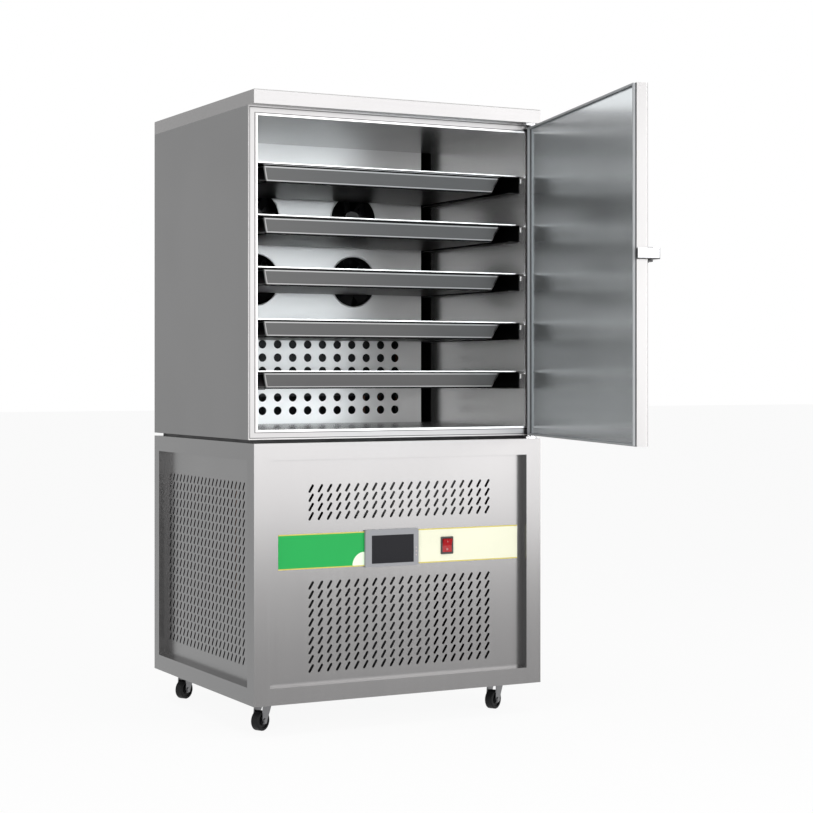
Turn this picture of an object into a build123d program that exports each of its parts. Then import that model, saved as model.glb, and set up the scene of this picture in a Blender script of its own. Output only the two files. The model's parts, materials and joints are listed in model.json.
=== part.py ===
from build123d import *
import os

# Blast freezer with an open five-tray chamber over a machine compartment, on four casters.
# Millimetres. X runs to the right, Y to the back and Z up, from the middle of the base's underside.

# Overall body
cabinet_width = 651.0
cabinet_depth = 556.0
body_height = 1200.0
base_height = 511.0
spacer_height = 6.5
spacer_bar = 20.0
spacer_inset = 8.0
cap_height = 28.0
face_setback = 29.0  # the chamber's front frame stands this far behind the cap and the base
running_gap = 0.3
seat_gap = 0.2
pin_clearance = 0.05

# Upper cabinet
wall_thickness = 19.0
skin_sheet = 1.0
liner_sheet = 0.8
frame_sheet = 2.0
frame_edge_radius = 1.5
bead_width = 3.5
bead_height = 1.8
cap_edge_radius = 1.2

# Rear fan panel and its holes
panel_setback = 418.0  # behind the front frame
panel_sheet = 1.2
panel_air_gap = 26.3  # open slot between the panel and the right wall
panel_flange = 18.0
fan_hole_diameter = 113.0
fan_spacing_x = 239.0
fan_spacing_z = 139.0
fan_top_height = 992.5
air_hole_diameter = 18.8
air_hole_pitch_x = 36.4
air_hole_pitch_z = 29.3
air_hole_columns = 13
air_hole_rows = 6
air_hole_edge = 67.4  # last column to the panel's free edge
air_hole_lowest = 28.5  # lowest row over the chamber floor

# Evaporator fans
fan_frame_size = 119.0
fan_frame_depth = 38.0
fan_blades = 7
fan_blade_reach = 54.0
fan_hub_radius = 20.0
fan_hub_depth = 24.0
fan_motor_depth = 10.0
fan_shaft_radius = 2.0
fan_blade_tilt = 38.0
fan_blade_thickness = 1.6
fan_blade_width = 26.0
fan_strut = 4.0

# Evaporator coil, air probe and drain
coil_depth = 40.0
coil_foot_height = 60.0
coil_height = 480.0
coil_side_margin = 45.0
coil_end_sheet = 2.0
coil_fan_gap = 3.0
probe_radius = 3.0
probe_length = 40.0
probe_height = 430.0
drain_radius = 8.0
drain_wall = 1.0
drain_from_right = 325.5
drain_from_back = 86.0
drain_flange = 14.0

# Trays and runners
tray_count = 5
tray_width = 600.0
tray_depth = 392.0
tray_front_setback = 23.0  # rim's front edge behind the front frame
tray_pitch = 103.1
tray_lowest_rim = 652.7
tray_sheet = 1.2
tray_rim = 23.0
tray_lip = 4.0
tray_pan_depth = 36.0
tray_wall_slope = 15.0
tray_corner_radius = 9.0
tray_rim_radius = 5.0
runner_sheet = 1.5
runner_width = 27.5
runner_height = 36.0
runner_front_setback = 25.0  # runner's front end behind the front frame
runner_length = 386.0
hook_reach = 22.0
hook_drop = 12.0
hook_bar = 2.5
hook_gap = 2.5  # hook's drop to the runner's front end

# Door, in its closed place until it is swung open
door_thickness = 22.0
door_side_gap = 3.0
door_bottom = 517.3
door_top = 1165.0
door_open_angle = 75.7
door_edge_radius = 3.0
door_skin = 1.0
door_inner_sheet = 0.8
hinge_inset = 9.0  # pivot from the cabinet's right side
hinge_setback = 18.0  # pivot behind the door's outer face
hinge_pin_radius = 2.5
hinge_pin_length = 18.0
hinge_bracket_sheet = 4.0
hinge_bracket_width = 27.0
hinge_bracket_front = 8.0
washer_radius = 6.0
bush_height = 22.0
bush_width = 9.0
gasket_width = 3.0
gasket_inset = 1.2
gasket_hinge_inset = 4.5

# Door latch at the free edge
latch_height = 851.0
latch_bar_height = 20.0
latch_bar_length = 48.0
latch_bar_thickness = 12.0
latch_finger_gap = 9.0
latch_toe_thickness = 3.0
latch_toe_gap = 3.5  # toe's inner face to the door's free edge
latch_plate_sheet = 2.0
latch_plate_start = 20.0
latch_plate_length = 40.0
latch_plate_height = 50.0
latch_ear = 3.2
latch_ear_width = 14.0
latch_pin_radius = 2.5
latch_pin_from_end = 7.0

# Base frame and panels
post_width = 34.0
rear_post_width = 28.0
rail_height = 33.0
frame_wall = 1.5
panel_recess = 20.0
side_recess = 18.0
base_sheet = 1.0
floor_sheet = 2.0
cross_rail_setback = 150.0
base_edge_radius = 2.0

# Slots in the base panels
slot_length = 18.6
slot_width = 5.2
slot_lean = 31.0
front_slot_pitch = 20.1
side_slot_pitch = 20.47
slot_row_pitch = 18.28
slot_columns = 21
front_lower_rows = 10
front_lower_first = 63.3
front_upper_rows = 4
front_slot_first = 131.2  # first column from the cabinet's left side
front_upper_first = 364.7
side_rows = 20
side_first = 75.5
side_first_from_front = 94.4
rear_rows = 10
rear_first = 255.5

# Control strip
strip_left = 59.9
strip_right = 45.3
strip_bottom = 260.6
strip_height = 69.6
strip_sheet = 0.4
display_left = 248.5
display_width = 120.5
display_height = 74.7
display_bottom = 258.3
display_proud = 5.6
display_body_depth = 30.0
display_rim = 6.0
screen_left = 14.1
screen_width = 95.4
screen_height = 56.7
screen_bottom = 6.4
screen_sheet = 1.5
switch_left = 423.2
switch_width = 28.1
switch_height = 35.7
switch_bottom = 276.8
switch_proud = 2.4
switch_body_depth = 22.0
switch_wall = 3.2
rocker_radius = 14.0
rocker_pivot_depth = 3.0  # pivot behind the switch frame's face
rocker_dish = 2.5
rocker_rise = 2.7
rocker_pin_radius = 1.5
rocker_pin_length = 1.4
rocker_rest_tilt = 8.0

# Casters
caster_height = 62.0
caster_inset_side = 58.0
caster_inset_front = 86.0
caster_inset_back = 50.0
caster_angle = 29.4
caster_trail = 12.0
wheel_radius = 20.0
wheel_width = 18.0
wheel_hub_radius = 9.0
wheel_hub_recess = 2.5
wheel_rim_radius = 15.0
wheel_edge_radius = 2.5
axle_radius = 3.0
axle_head = 2.0
fork_sheet = 2.0
fork_side_gap = 1.0
caster_plate_size = 52.0
caster_plate_sheet = 2.5
caster_plate_radius = 5.0
raceway_radius = 15.0
raceway_height = 2.5
fork_crown_sheet = 3.0
king_pin_radius = 4.0
king_head_radius = 7.0
king_head_height = 2.0

# Machine compartment
compressor_radius = 70.0
compressor_height = 150.0
compressor_from_left = 150.0
compressor_from_front = 380.0
compressor_foot_radius = 11.0
compressor_foot_height = 10.0
compressor_plate = 3.0
compressor_dome = 26.0
condenser_left = 134.0
condenser_front = 58.0
condenser_width = 292.0
condenser_height = 252.0
condenser_depth = 52.0
condenser_foot = 8.0
shroud_sheet = 2.0
shroud_bore_radius = 104.0
shroud_ring_wall = 2.0
shroud_ring_depth = 28.0
condenser_fan_reach = 100.0
condenser_fan_blades = 5
condenser_hub_radius = 20.0
condenser_motor_radius = 34.0
condenser_motor_depth = 54.0
condenser_motor_gap = 36.0
condenser_shaft_radius = 4.0
motor_bar = 3.0
motor_bar_height = 20.0
receiver_radius = 38.0
receiver_height = 200.0
receiver_from_right = 91.0
receiver_from_back = 126.0
control_box_left = 240.0
control_box_width = 300.0
control_box_height = 180.0
control_box_depth = 110.0
control_box_front = 74.0
pan_width = 140.0
pan_depth = 110.0
pan_height = 36.0
pan_sheet = 1.5
suction_radius = 6.0
liquid_radius = 4.0
suction_from_coil_end = 80.0
liquid_from_coil_end = 40.0
pipe_bend = 18.0
discharge_offset_x = 20.0
discharge_offset_y = -20.0
discharge_rise = 135.0
suction_offset_x = -25.0
suction_offset_y = 8.0
suction_run_height = 420.0
liquid_run_height = 330.0
liquid_port_height = 40.0
liquid_port_reach = 50.0
drier_radius = 11.0
drier_length = 90.0
drier_taper = 10.0
drier_bottom = 370.0
gland_from_right = 90.0
gland_height = 70.0
gland_radius = 9.0
gland_bore_radius = 4.5
screw_head_radius = 3.5
screw_head_height = 1.6
screw_shank_radius = 1.6
screw_shank_length = 8.0
screw_inset = 9.0
tab_size = 18.0
tab_sheet = 3.0

# Planes that follow from the sizes above
left = -cabinet_width / 2
right = cabinet_width / 2
front = -cabinet_depth / 2
back = cabinet_depth / 2
frame_plane = front + face_setback
skin_front = frame_plane + frame_sheet
cap_bottom = body_height - cap_height
cabinet_bottom = base_height + spacer_height
chamber_left = left + wall_thickness
chamber_right = right - wall_thickness
chamber_back = back - wall_thickness
chamber_floor = cabinet_bottom + wall_thickness
chamber_top = cap_bottom - wall_thickness
panel_front = frame_plane + panel_setback
panel_back = panel_front + panel_sheet
panel_right = chamber_right - panel_air_gap
panel_middle = (chamber_left + panel_right) / 2
fan_back = panel_back + fan_frame_depth
coil_front = fan_back + coil_fan_gap
fan_places = [
    (panel_middle + fan_spacing_x * (column - 0.5), fan_top_height - fan_spacing_z * row)
    for row in (0, 1)
    for column in (0, 1)
]
door_left = left + door_side_gap
door_right = right - door_side_gap
door_inner_face = front + door_thickness
pivot_x = right - hinge_inset
pivot_y = front + hinge_setback
recess_y = front + panel_recess
rear_recess_y = back - panel_recess
base_inner_left = left + post_width
base_inner_right = right - post_width
drain_x = right - drain_from_right
drain_y = back - drain_from_back
latch_pin_x = door_left - latch_toe_gap - latch_toe_thickness + latch_bar_length - latch_pin_from_end
latch_bar_back = front - latch_finger_gap
latch_bar_front = latch_bar_back - latch_bar_thickness
latch_pin_y = (latch_bar_back + latch_bar_front) / 2
latch_top = latch_height + latch_bar_height
rear_bar_front = back - post_width - spacer_bar
pipe_y = rear_bar_front - 1 - suction_radius
coil_right = panel_right - coil_side_margin
suction_x = coil_right - suction_from_coil_end
liquid_x = coil_right - liquid_from_coil_end
compressor_x = left + compressor_from_left
compressor_y = front + compressor_from_front
compressor_top = floor_sheet + compressor_foot_height + compressor_plate + compressor_height
receiver_x = right - receiver_from_right
receiver_y = back - receiver_from_back
gland_x = right - gland_from_right
switch_face = recess_y - strip_sheet - switch_proud
rocker_y = switch_face + rocker_pivot_depth
axle_z = wheel_radius - caster_height
race_low = -caster_plate_sheet - raceway_height
crown_top = race_low - running_gap
crown_low = crown_top - fork_crown_sheet
fork_half = wheel_width / 2 + fork_side_gap
caster_places = [
    (left + caster_inset_side, front + caster_inset_front),
    (right - caster_inset_side, front + caster_inset_front),
    (left + caster_inset_side, back - caster_inset_back),
    (right - caster_inset_side, back - caster_inset_back),
]


def block(x0, x1, y0, y1, z0, z1):
    """A box between two opposite corners."""
    return Pos((x0 + x1) / 2, (y0 + y1) / 2, (z0 + z1) / 2) * Box(x1 - x0, y1 - y0, z1 - z0)


def post(x, y, z0, z1, radius):
    """An upright cylinder."""
    return Pos(x, y, (z0 + z1) / 2) * Cylinder(radius, z1 - z0)


def rod_y(x, z, y0, y1, radius):
    """A cylinder that runs front to back."""
    return Pos(x, (y0 + y1) / 2, z) * Rot(90, 0, 0) * Cylinder(radius, y1 - y0)


def rod_x(y, z, x0, x1, radius):
    """A cylinder that runs left to right."""
    return Pos((x0 + x1) / 2, y, z) * Rot(0, 90, 0) * Cylinder(radius, x1 - x0)


def save(name, *pieces):
    """Write one sub-part, which may hold several separate solids."""
    solids = []
    for piece in pieces:
        solids.extend(piece.solids())
    export_step(Compound(children=solids, label=name), f"parts/{name}.step")


def swing(shape):
    """Turn a piece of the closed door to the open place in which the freezer stands."""
    return Pos(pivot_x, pivot_y, 0) * Rot(0, 0, door_open_angle) * Pos(-pivot_x, -pivot_y, 0) * shape


def top_cap():
    outer = block(left, right, front, back, cap_bottom, body_height)
    outer = fillet(outer.edges().group_by(Axis.Z)[-1], cap_edge_radius)
    inside = block(
        left + skin_sheet,
        right - skin_sheet,
        front + skin_sheet,
        back - skin_sheet,
        cap_bottom + skin_sheet,
        body_height - skin_sheet,
    )
    mouth = block(
        left + skin_sheet,
        right - skin_sheet,
        skin_front,
        back - skin_sheet,
        cap_bottom,
        cap_bottom + skin_sheet,
    )
    return outer - inside - mouth


def pass_through(radius):
    """The upright hole for the drain through the cabinet's bottom."""
    return post(drain_x, drain_y, cabinet_bottom - 1, chamber_floor + 1, radius)


def pipe_holes():
    """Upright holes for the two refrigerant pipes through the cabinet's bottom."""
    suction = post(suction_x, pipe_y, cabinet_bottom - 1, chamber_floor + 1, suction_radius + running_gap)
    liquid = post(liquid_x, pipe_y, cabinet_bottom - 1, chamber_floor + 1, liquid_radius + running_gap)
    return suction + liquid


def outer_skin():
    outer = block(left, right, skin_front, back, cabinet_bottom, cap_bottom)
    inside = block(
        left + skin_sheet,
        right - skin_sheet,
        skin_front,
        back - skin_sheet,
        cabinet_bottom + skin_sheet,
        cap_bottom,
    )
    return outer - inside - pass_through(drain_radius + running_gap) - pipe_holes()


def insulation():
    """Slabs of foam for the sides, back, bottom and top, and the one that fills the cap."""
    in_left = left + skin_sheet
    in_right = right - skin_sheet
    in_back = back - skin_sheet
    wet_left = chamber_left - liner_sheet
    wet_right = chamber_right + liner_sheet
    wet_back = chamber_back + liner_sheet
    wet_floor = chamber_floor - liner_sheet
    wet_top = chamber_top + liner_sheet
    low = cabinet_bottom + skin_sheet
    holes = pass_through(drain_radius + running_gap) + pipe_holes()
    return [
        block(in_left, wet_left, skin_front, in_back, low, wet_top),
        block(wet_right, in_right, skin_front, in_back, low, wet_top),
        block(wet_left, wet_right, skin_front, in_back, low, wet_floor) - holes,
        block(wet_left, wet_right, wet_back, in_back, wet_floor, wet_top),
        block(in_left, in_right, skin_front, in_back, wet_top, cap_bottom + skin_sheet),
        block(
            in_left,
            in_right,
            front + skin_sheet,
            in_back,
            cap_bottom + skin_sheet,
            body_height - skin_sheet,
        ),
    ]


def inner_liner():
    outer = block(
        chamber_left - liner_sheet,
        chamber_right + liner_sheet,
        skin_front,
        chamber_back + liner_sheet,
        chamber_floor - liner_sheet,
        chamber_top + liner_sheet,
    )
    inside = block(chamber_left, chamber_right, skin_front, chamber_back, chamber_floor, chamber_top)
    return outer - inside - pass_through(drain_radius + running_gap) - pipe_holes()


def front_frame():
    """Flat frame round the chamber's mouth, with a raised bead along its inner edge."""
    ring = block(left, right, frame_plane, skin_front, cabinet_bottom, cap_bottom)
    upright = ring.edges().filter_by(Axis.Z).group_by(Axis.Y)[0]
    ring = fillet(upright, frame_edge_radius)
    bead = block(
        chamber_left - bead_width,
        chamber_right + bead_width,
        frame_plane - bead_height,
        skin_front,
        chamber_floor - bead_width,
        chamber_top + bead_width,
    )
    mouth = block(
        chamber_left,
        chamber_right,
        frame_plane - 2 * bead_height,
        skin_front + 1,
        chamber_floor,
        chamber_top,
    )
    return ring + bead - mouth


def spacer_frame():
    """Four bars that hold the upper cabinet just clear of the base."""
    x0 = left + spacer_inset
    x1 = right - spacer_inset
    y0 = skin_front + spacer_inset
    y1 = back - post_width
    return [
        block(x0, x1, y0, y0 + spacer_bar, base_height, cabinet_bottom),
        block(x0, x1, y1 - spacer_bar, y1, base_height, cabinet_bottom),
        block(x0, x0 + spacer_bar, y0 + spacer_bar, y1 - spacer_bar, base_height, cabinet_bottom),
        block(x1 - spacer_bar, x1, y0 + spacer_bar, y1 - spacer_bar, base_height, cabinet_bottom),
    ]


def fan_panel():
    """Cover in front of the evaporator, with fan holes above and a field of air holes below."""
    face = Plane(origin=(0, panel_back, 0), x_dir=(1, 0, 0), z_dir=(0, -1, 0))
    holes = [round_hole(x, z, fan_hole_diameter / 2) for x, z in fan_places]
    last_x = panel_right - air_hole_edge
    low_z = chamber_floor + air_hole_lowest
    holes += [
        round_hole(last_x - column * air_hole_pitch_x, low_z + row * air_hole_pitch_z, air_hole_diameter / 2)
        for column in range(air_hole_columns)
        for row in range(air_hole_rows)
    ]
    plate = holed_sheet(face, chamber_left, panel_right, chamber_floor, chamber_top, holes, panel_sheet)
    flange = block(
        panel_right - panel_sheet,
        panel_right,
        panel_back,
        panel_back + panel_flange,
        chamber_floor,
        chamber_top,
    )
    return plate + flange


def fan_frame(x, z):
    """Square fan housing with a round bore, and a motor on four struts at its back."""
    half = fan_frame_size / 2
    bore = fan_hole_diameter / 2
    housing = block(x - half, x + half, panel_back, fan_back, z - half, z + half)
    housing = fillet(housing.edges().filter_by(Axis.Y), 4)
    housing -= rod_y(x, z, panel_back - 1, fan_back + 1, bore)
    motor_front = fan_back - fan_motor_depth
    motor = rod_y(x, z, motor_front, fan_back, fan_hub_radius)
    reach = bore + fan_strut / 2
    struts = block(x - reach, x + reach, motor_front + fan_strut, fan_back, z - fan_strut / 2, z + fan_strut / 2)
    struts += block(x - fan_strut / 2, x + fan_strut / 2, motor_front + fan_strut, fan_back, z - reach, z + reach)
    bearing = rod_y(x, z, motor_front - 1, fan_back - 2, fan_shaft_radius + pin_clearance)
    return housing + struts + motor - bearing


def axial_rotor(x, z, hub_front, hub_depth, hub_radius, reach, blades, width, tilt, thickness):
    """Hub with flat tilted blades, turning about an axis that runs front to back."""
    hub = rod_y(x, z, hub_front, hub_front + hub_depth, hub_radius)
    middle = hub_front + hub_depth / 2
    length = reach - hub_radius / 2
    ring = rod_y(x, z, hub_front - hub_depth, hub_front + 2 * hub_depth, reach)
    blade = Pos(hub_radius / 2 + length / 2, 0, 0) * Rot(tilt, 0, 0) * Box(length, thickness, width)
    fan = Part()
    for number in range(blades):
        fan += Pos(x, middle, z) * Rot(0, 360 * number / blades, 0) * blade
    return hub + (fan & ring)


def evaporator_rotor(x, z):
    hub_front = panel_back + 2 * running_gap + 2
    rotor = axial_rotor(
        x,
        z,
        hub_front,
        fan_hub_depth - 2,
        fan_hub_radius,
        fan_blade_reach,
        fan_blades,
        fan_blade_width,
        fan_blade_tilt,
        fan_blade_thickness,
    )
    shaft_end = fan_back - fan_motor_depth / 2
    return rotor + rod_y(x, z, hub_front + 2, shaft_end, fan_shaft_radius)


def evaporator_coil():
    """Finned core between two end plates that stand on the chamber floor."""
    x0 = chamber_left + coil_side_margin
    x1 = panel_right - coil_side_margin
    z0 = chamber_floor + coil_foot_height
    z1 = z0 + coil_height
    y1 = coil_front + coil_depth
    core = block(x0 + coil_end_sheet, x1 - coil_end_sheet, coil_front, y1, z0, z1)
    ends = [
        block(x0, x0 + coil_end_sheet, coil_front, y1, chamber_floor, z1 + coil_end_sheet),
        block(x1 - coil_end_sheet, x1, coil_front, y1, chamber_floor, z1 + coil_end_sheet),
    ]
    return [core, *ends]


def air_probe():
    """Temperature probe in a clip on the back of the fan panel's flange."""
    z0 = chamber_floor + probe_height
    x = panel_right - panel_sheet - probe_radius
    y = panel_back + panel_flange / 2
    return post(x, y, z0, z0 + probe_length, probe_radius - seat_gap)


def drain_pipe():
    """Drain from the chamber floor down to just over the condensate pan's floor."""
    low = floor_sheet + pan_height / 2
    tube = post(drain_x, drain_y, low, chamber_floor, drain_radius)
    tube += post(drain_x, drain_y, chamber_floor, chamber_floor + drain_wall, drain_flange)
    return tube - post(drain_x, drain_y, low - 1, chamber_floor + 2, drain_radius - drain_wall)


def tray(number):
    """Shallow pan with sloping walls, a flat rim all round and a short lip down its front."""
    rim_top = tray_lowest_rim + number * tray_pitch
    y0 = frame_plane + tray_front_setback
    middle = y0 + tray_depth / 2
    top_x = tray_width - 2 * tray_rim
    top_y = tray_depth - 2 * tray_rim
    low_x = top_x - 2 * tray_wall_slope
    low_y = top_y - 2 * tray_wall_slope
    low_radius = tray_corner_radius - 2
    upper = Pos(0, middle, rim_top) * RectangleRounded(top_x, top_y, tray_corner_radius)
    lower = Pos(0, middle, rim_top - tray_pan_depth) * RectangleRounded(low_x, low_y, low_radius)
    shrink = 2 * tray_sheet
    upper_in = Pos(0, middle, rim_top) * RectangleRounded(
        top_x - shrink, top_y - shrink, tray_corner_radius - tray_sheet
    )
    lower_in = Pos(0, middle, rim_top - tray_pan_depth + tray_sheet) * RectangleRounded(
        low_x - shrink, low_y - shrink, low_radius - tray_sheet
    )
    pan = loft([lower, upper])
    hollow = loft([lower_in, upper_in])
    rim = Pos(0, middle, rim_top - tray_sheet / 2) * Box(tray_width, tray_depth, tray_sheet)
    rim = fillet(rim.edges().filter_by(Axis.Z), tray_rim_radius)
    half = tray_width / 2 - tray_rim_radius
    lip = block(-half, half, y0, y0 + tray_sheet, rim_top - tray_lip, rim_top)
    return rim + lip + pan - hollow


def tray_runner(side, number):
    """Channel on the chamber's side wall, open to the chamber, with a small hook at its front."""
    wall = chamber_right if side > 0 else chamber_left
    y0 = frame_plane + runner_front_setback
    y1 = y0 + runner_length
    z1 = tray_lowest_rim + number * tray_pitch - tray_sheet - seat_gap
    z0 = z1 - runner_height
    inner = wall - side * runner_width
    skin = wall - side * runner_sheet

    def strip(xa, xb, ya, yb, za, zb):
        return block(min(xa, xb), max(xa, xb), ya, yb, za, zb)

    channel = strip(wall, inner, y0, y1, z0, z1)
    channel -= strip(skin, inner, y0, y1, z0 + runner_sheet, z1 - runner_sheet)
    channel += strip(wall, skin, y0 - hook_reach, y0, z1 - 2 * hook_bar, z1 - hook_bar)
    drop = y0 - hook_gap
    channel += strip(wall, skin, drop - hook_bar, drop, z1 - hook_bar - hook_drop, z1 - hook_bar)
    return channel


def door_outer_skin():
    """Folded outer pan of the door, open towards the chamber, with holes for the hinge pins."""
    outer = block(door_left, door_right, front, door_inner_face, door_bottom, door_top)
    outer = fillet(outer.edges().filter_by(Axis.Z).group_by(Axis.Y)[0], door_edge_radius)
    inside = block(
        door_left + door_skin,
        door_right - door_skin,
        front + door_skin,
        door_inner_face,
        door_bottom + door_skin,
        door_top - door_skin,
    )
    inside = fillet(
        inside.edges().filter_by(Axis.Z).group_by(Axis.Y)[0], max(door_edge_radius - door_skin, 0.5)
    )
    pins = post(pivot_x, pivot_y, door_bottom - 1, door_top + 1, hinge_pin_radius + running_gap)
    return outer - inside - pins


def door_inner_panel():
    return block(
        door_left + door_skin,
        door_right - door_skin,
        door_inner_face - door_inner_sheet,
        door_inner_face,
        door_bottom + door_skin,
        door_top - door_skin,
    )


def bush_blocks():
    """The two upright places inside the door that the hinge bushes fill."""
    y0 = pivot_y - bush_width
    y1 = door_inner_face - door_inner_sheet
    x0 = pivot_x - bush_width
    x1 = door_right - door_skin
    low = door_bottom + door_skin
    high = door_top - door_skin
    return [
        block(x0, x1, y0, y1, low, low + bush_height),
        block(x0, x1, y0, y1, high - bush_height, high),
    ]


def hinge_bushes():
    bore = post(pivot_x, pivot_y, door_bottom, door_top, hinge_pin_radius + pin_clearance)
    return [place - bore for place in bush_blocks()]


def door_foam():
    foam = block(
        door_left + door_skin,
        door_right - door_skin,
        front + door_skin,
        door_inner_face - door_inner_sheet,
        door_bottom + door_skin,
        door_top - door_skin,
    )
    foam = fillet(
        foam.edges().filter_by(Axis.Z).group_by(Axis.Y)[0], max(door_edge_radius - door_skin, 0.5)
    )
    for place in bush_blocks():
        foam -= place
    return foam


def door_gasket():
    """Rubber ring that closes on the front frame."""
    x0 = door_left + gasket_inset
    x1 = door_right - gasket_hinge_inset
    z0 = door_bottom + gasket_inset
    z1 = door_top - gasket_inset
    y1 = frame_plane - running_gap
    outer = block(x0, x1, door_inner_face, y1, z0, z1)
    w = gasket_width
    return outer - block(x0 + w, x1 - w, door_inner_face - 1, y1 + 1, z0 + w, z1 - w)


def hinge_bracket(top):
    """Bracket with its pin and washer, over or under the door's pivot edge."""
    x1 = right - 2
    x0 = x1 - hinge_bracket_width
    y0 = front + hinge_bracket_front
    y1 = frame_plane - seat_gap if top else skin_front + spacer_inset - seat_gap
    if top:
        z0 = cap_bottom - hinge_bracket_sheet
        z1 = cap_bottom
        pin = post(pivot_x, pivot_y, z0 - hinge_pin_length, z0, hinge_pin_radius)
        wash = post(pivot_x, pivot_y, door_top + seat_gap, z0, washer_radius)
    else:
        z0 = base_height
        z1 = base_height + hinge_bracket_sheet
        pin = post(pivot_x, pivot_y, z1, z1 + hinge_pin_length, hinge_pin_radius)
        wash = post(pivot_x, pivot_y, z1, door_bottom - seat_gap, washer_radius)
    plate = block(x0, x1, y0, y1, z0, z1)
    plate = fillet(plate.edges().filter_by(Axis.Z).group_by(Axis.Y)[0], 6)
    return plate + pin + wash


def latch_base():
    """Plate on the door's outer face with two ears, a gusset and the lever's pin."""
    x0 = door_left + latch_plate_start
    x1 = x0 + latch_plate_length
    middle = latch_height + latch_bar_height / 2
    plate = block(
        x0,
        x1,
        front - latch_plate_sheet,
        front,
        middle - latch_plate_height / 2,
        middle + latch_plate_height / 2,
    )
    plate = fillet(plate.edges().filter_by(Axis.Y), 4)
    ear_x0 = latch_pin_x - latch_ear_width / 2
    ear_x1 = latch_pin_x + latch_ear_width / 2
    ear_y0 = latch_bar_front + 2
    ear_y1 = front - latch_plate_sheet
    low = block(ear_x0, ear_x1, ear_y0, ear_y1, latch_height - latch_ear, latch_height - running_gap)
    high = block(ear_x0, ear_x1, ear_y0, ear_y1, latch_top + running_gap, latch_top + latch_ear)
    pin = post(latch_pin_x, latch_pin_y, latch_height - latch_ear, latch_top + latch_ear, latch_pin_radius)
    corner = latch_height - latch_ear
    rib = Plane.YZ.offset(latch_pin_x - latch_ear / 2) * Polygon(
        (ear_y1, corner), (ear_y1, corner - 11), (ear_y1 - 12, corner), align=None
    )
    return plate + low + high + pin + extrude(rib, latch_ear, dir=(1, 0, 0))


def latch_lever():
    """Pull lever outside the door, whose toe wraps round the door's free edge."""
    x1 = latch_pin_x + latch_pin_from_end
    x0 = x1 - latch_bar_length
    toe_end = door_inner_face
    bar = block(x0, x1, latch_bar_front, latch_bar_back, latch_height, latch_top)
    toe = block(x0, x0 + latch_toe_thickness, latch_bar_front, toe_end, latch_height, latch_top)
    lever = bar + toe
    lever = fillet(lever.edges().filter_by(Axis.Z).group_by(Axis.Y)[0], 4)
    bore = post(latch_pin_x, latch_pin_y, latch_height - 1, latch_top + 1, latch_pin_radius + pin_clearance)
    return lever - bore


def folded_rail(x0, x1, y0, y1, z0, z1, open_side):
    """Box section with closed ends and one open side that faces into the base."""
    w = frame_wall
    inside = [x0 + w, x1 - w, y0 + w, y1 - w, z0 + w, z1 - w]
    if open_side == "back":
        inside[3] = y1
    if open_side == "front":
        inside[2] = y0
    if open_side == "right":
        inside[1] = x1
    if open_side == "left":
        inside[0] = x0
    return block(x0, x1, y0, y1, z0, z1) - block(*inside)


def corner_post(x0, x1, y0, y1):
    """Square tube between the bottom rails and the top rails."""
    w = frame_wall
    z0 = rail_height
    z1 = base_height - rail_height
    return block(x0, x1, y0, y1, z0, z1) - block(x0 + w, x1 - w, y0 + w, y1 - w, z0, z1)


def tab_places():
    """Where the screws of the rear panel go: near its four corners."""
    low = rail_height + screw_inset
    high = base_height - rail_height - screw_inset
    return [
        (side * (base_inner_right - screw_inset), z)
        for side in (-1, 1)
        for z in (low, high)
    ]


def rear_tab(x, z):
    """Tab on a rear post that the rear panel is screwed to."""
    y1 = rear_recess_y - base_sheet
    half = tab_size / 2
    tab = block(x - half, x + half, y1 - tab_sheet, y1, z - half, z + half)
    return tab - rod_y(x, z, y1 - tab_sheet, y1, screw_shank_radius + pin_clearance)


def base_frame():
    """Corner posts, top and bottom rails, a cross rail and the rear panel's tabs."""
    pieces = []
    lower = (0, rail_height)
    upper = (base_height - rail_height, base_height)
    depth_front = front + post_width
    depth_back = back - rear_post_width
    for z0, z1 in (lower, upper):
        pieces.append(folded_rail(left, right, front, depth_front, z0, z1, "back"))
        pieces.append(folded_rail(left, right, depth_back, back, z0, z1, "front"))
        pieces.append(folded_rail(left, base_inner_left, depth_front, depth_back, z0, z1, "right"))
        pieces.append(folded_rail(base_inner_right, right, depth_front, depth_back, z0, z1, "left"))
    for y0, y1 in ((front, depth_front), (depth_back, back)):
        pieces.append(corner_post(left, base_inner_left, y0, y1))
        pieces.append(corner_post(base_inner_right, right, y0, y1))
    y0 = front + cross_rail_setback
    pieces.append(folded_rail(base_inner_left, base_inner_right, y0, y0 + post_width, *upper, "back"))
    for x, z in tab_places():
        pieces.append(rear_tab(x, z))
    return pieces


def base_floor():
    return block(
        base_inner_left, base_inner_right, front + post_width, back - rear_post_width, 0, floor_sheet
    )


def holed_sheet(face, x0, x1, z0, z1, holes, thickness):
    """A flat sheet on a plane, between two corners, with closed outlines cut out of it."""
    outline = rectangle_hole(x0, x1, z0, z1)
    return extrude(face * Face(outline, holes), thickness, dir=face.z_dir, clean=False)


def rectangle_hole(x0, x1, z0, z1):
    """Outline of a rectangle between two corners."""
    return Wire.make_polygon([(x0, z0), (x1, z0), (x1, z1), (x0, z1)])


def round_hole(x, z, radius):
    """Outline of a circle."""
    return Pos(x, z) * Wire.make_circle(radius)


def slot_outline():
    """Outline of one leaning slot with round ends."""
    r = slot_width / 2
    h = slot_length / 2 - r
    edges = [
        Edge.make_line((-r, -h), (-r, h)),
        Edge.make_three_point_arc((-r, h), (0, h + r), (r, h)),
        Edge.make_line((r, h), (r, -h)),
        Edge.make_three_point_arc((r, -h), (0, -h - r), (-r, -h)),
    ]
    return Rot(0, 0, -slot_lean) * Wire(edges)


def slot_grid(first_u, first_v, pitch, rows):
    """Outlines of leaning slots in rows and columns."""
    slot = slot_outline()
    return [
        Pos(first_u + column * pitch, first_v + row * slot_row_pitch) * slot
        for column in range(slot_columns)
        for row in range(rows)
    ]


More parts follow.
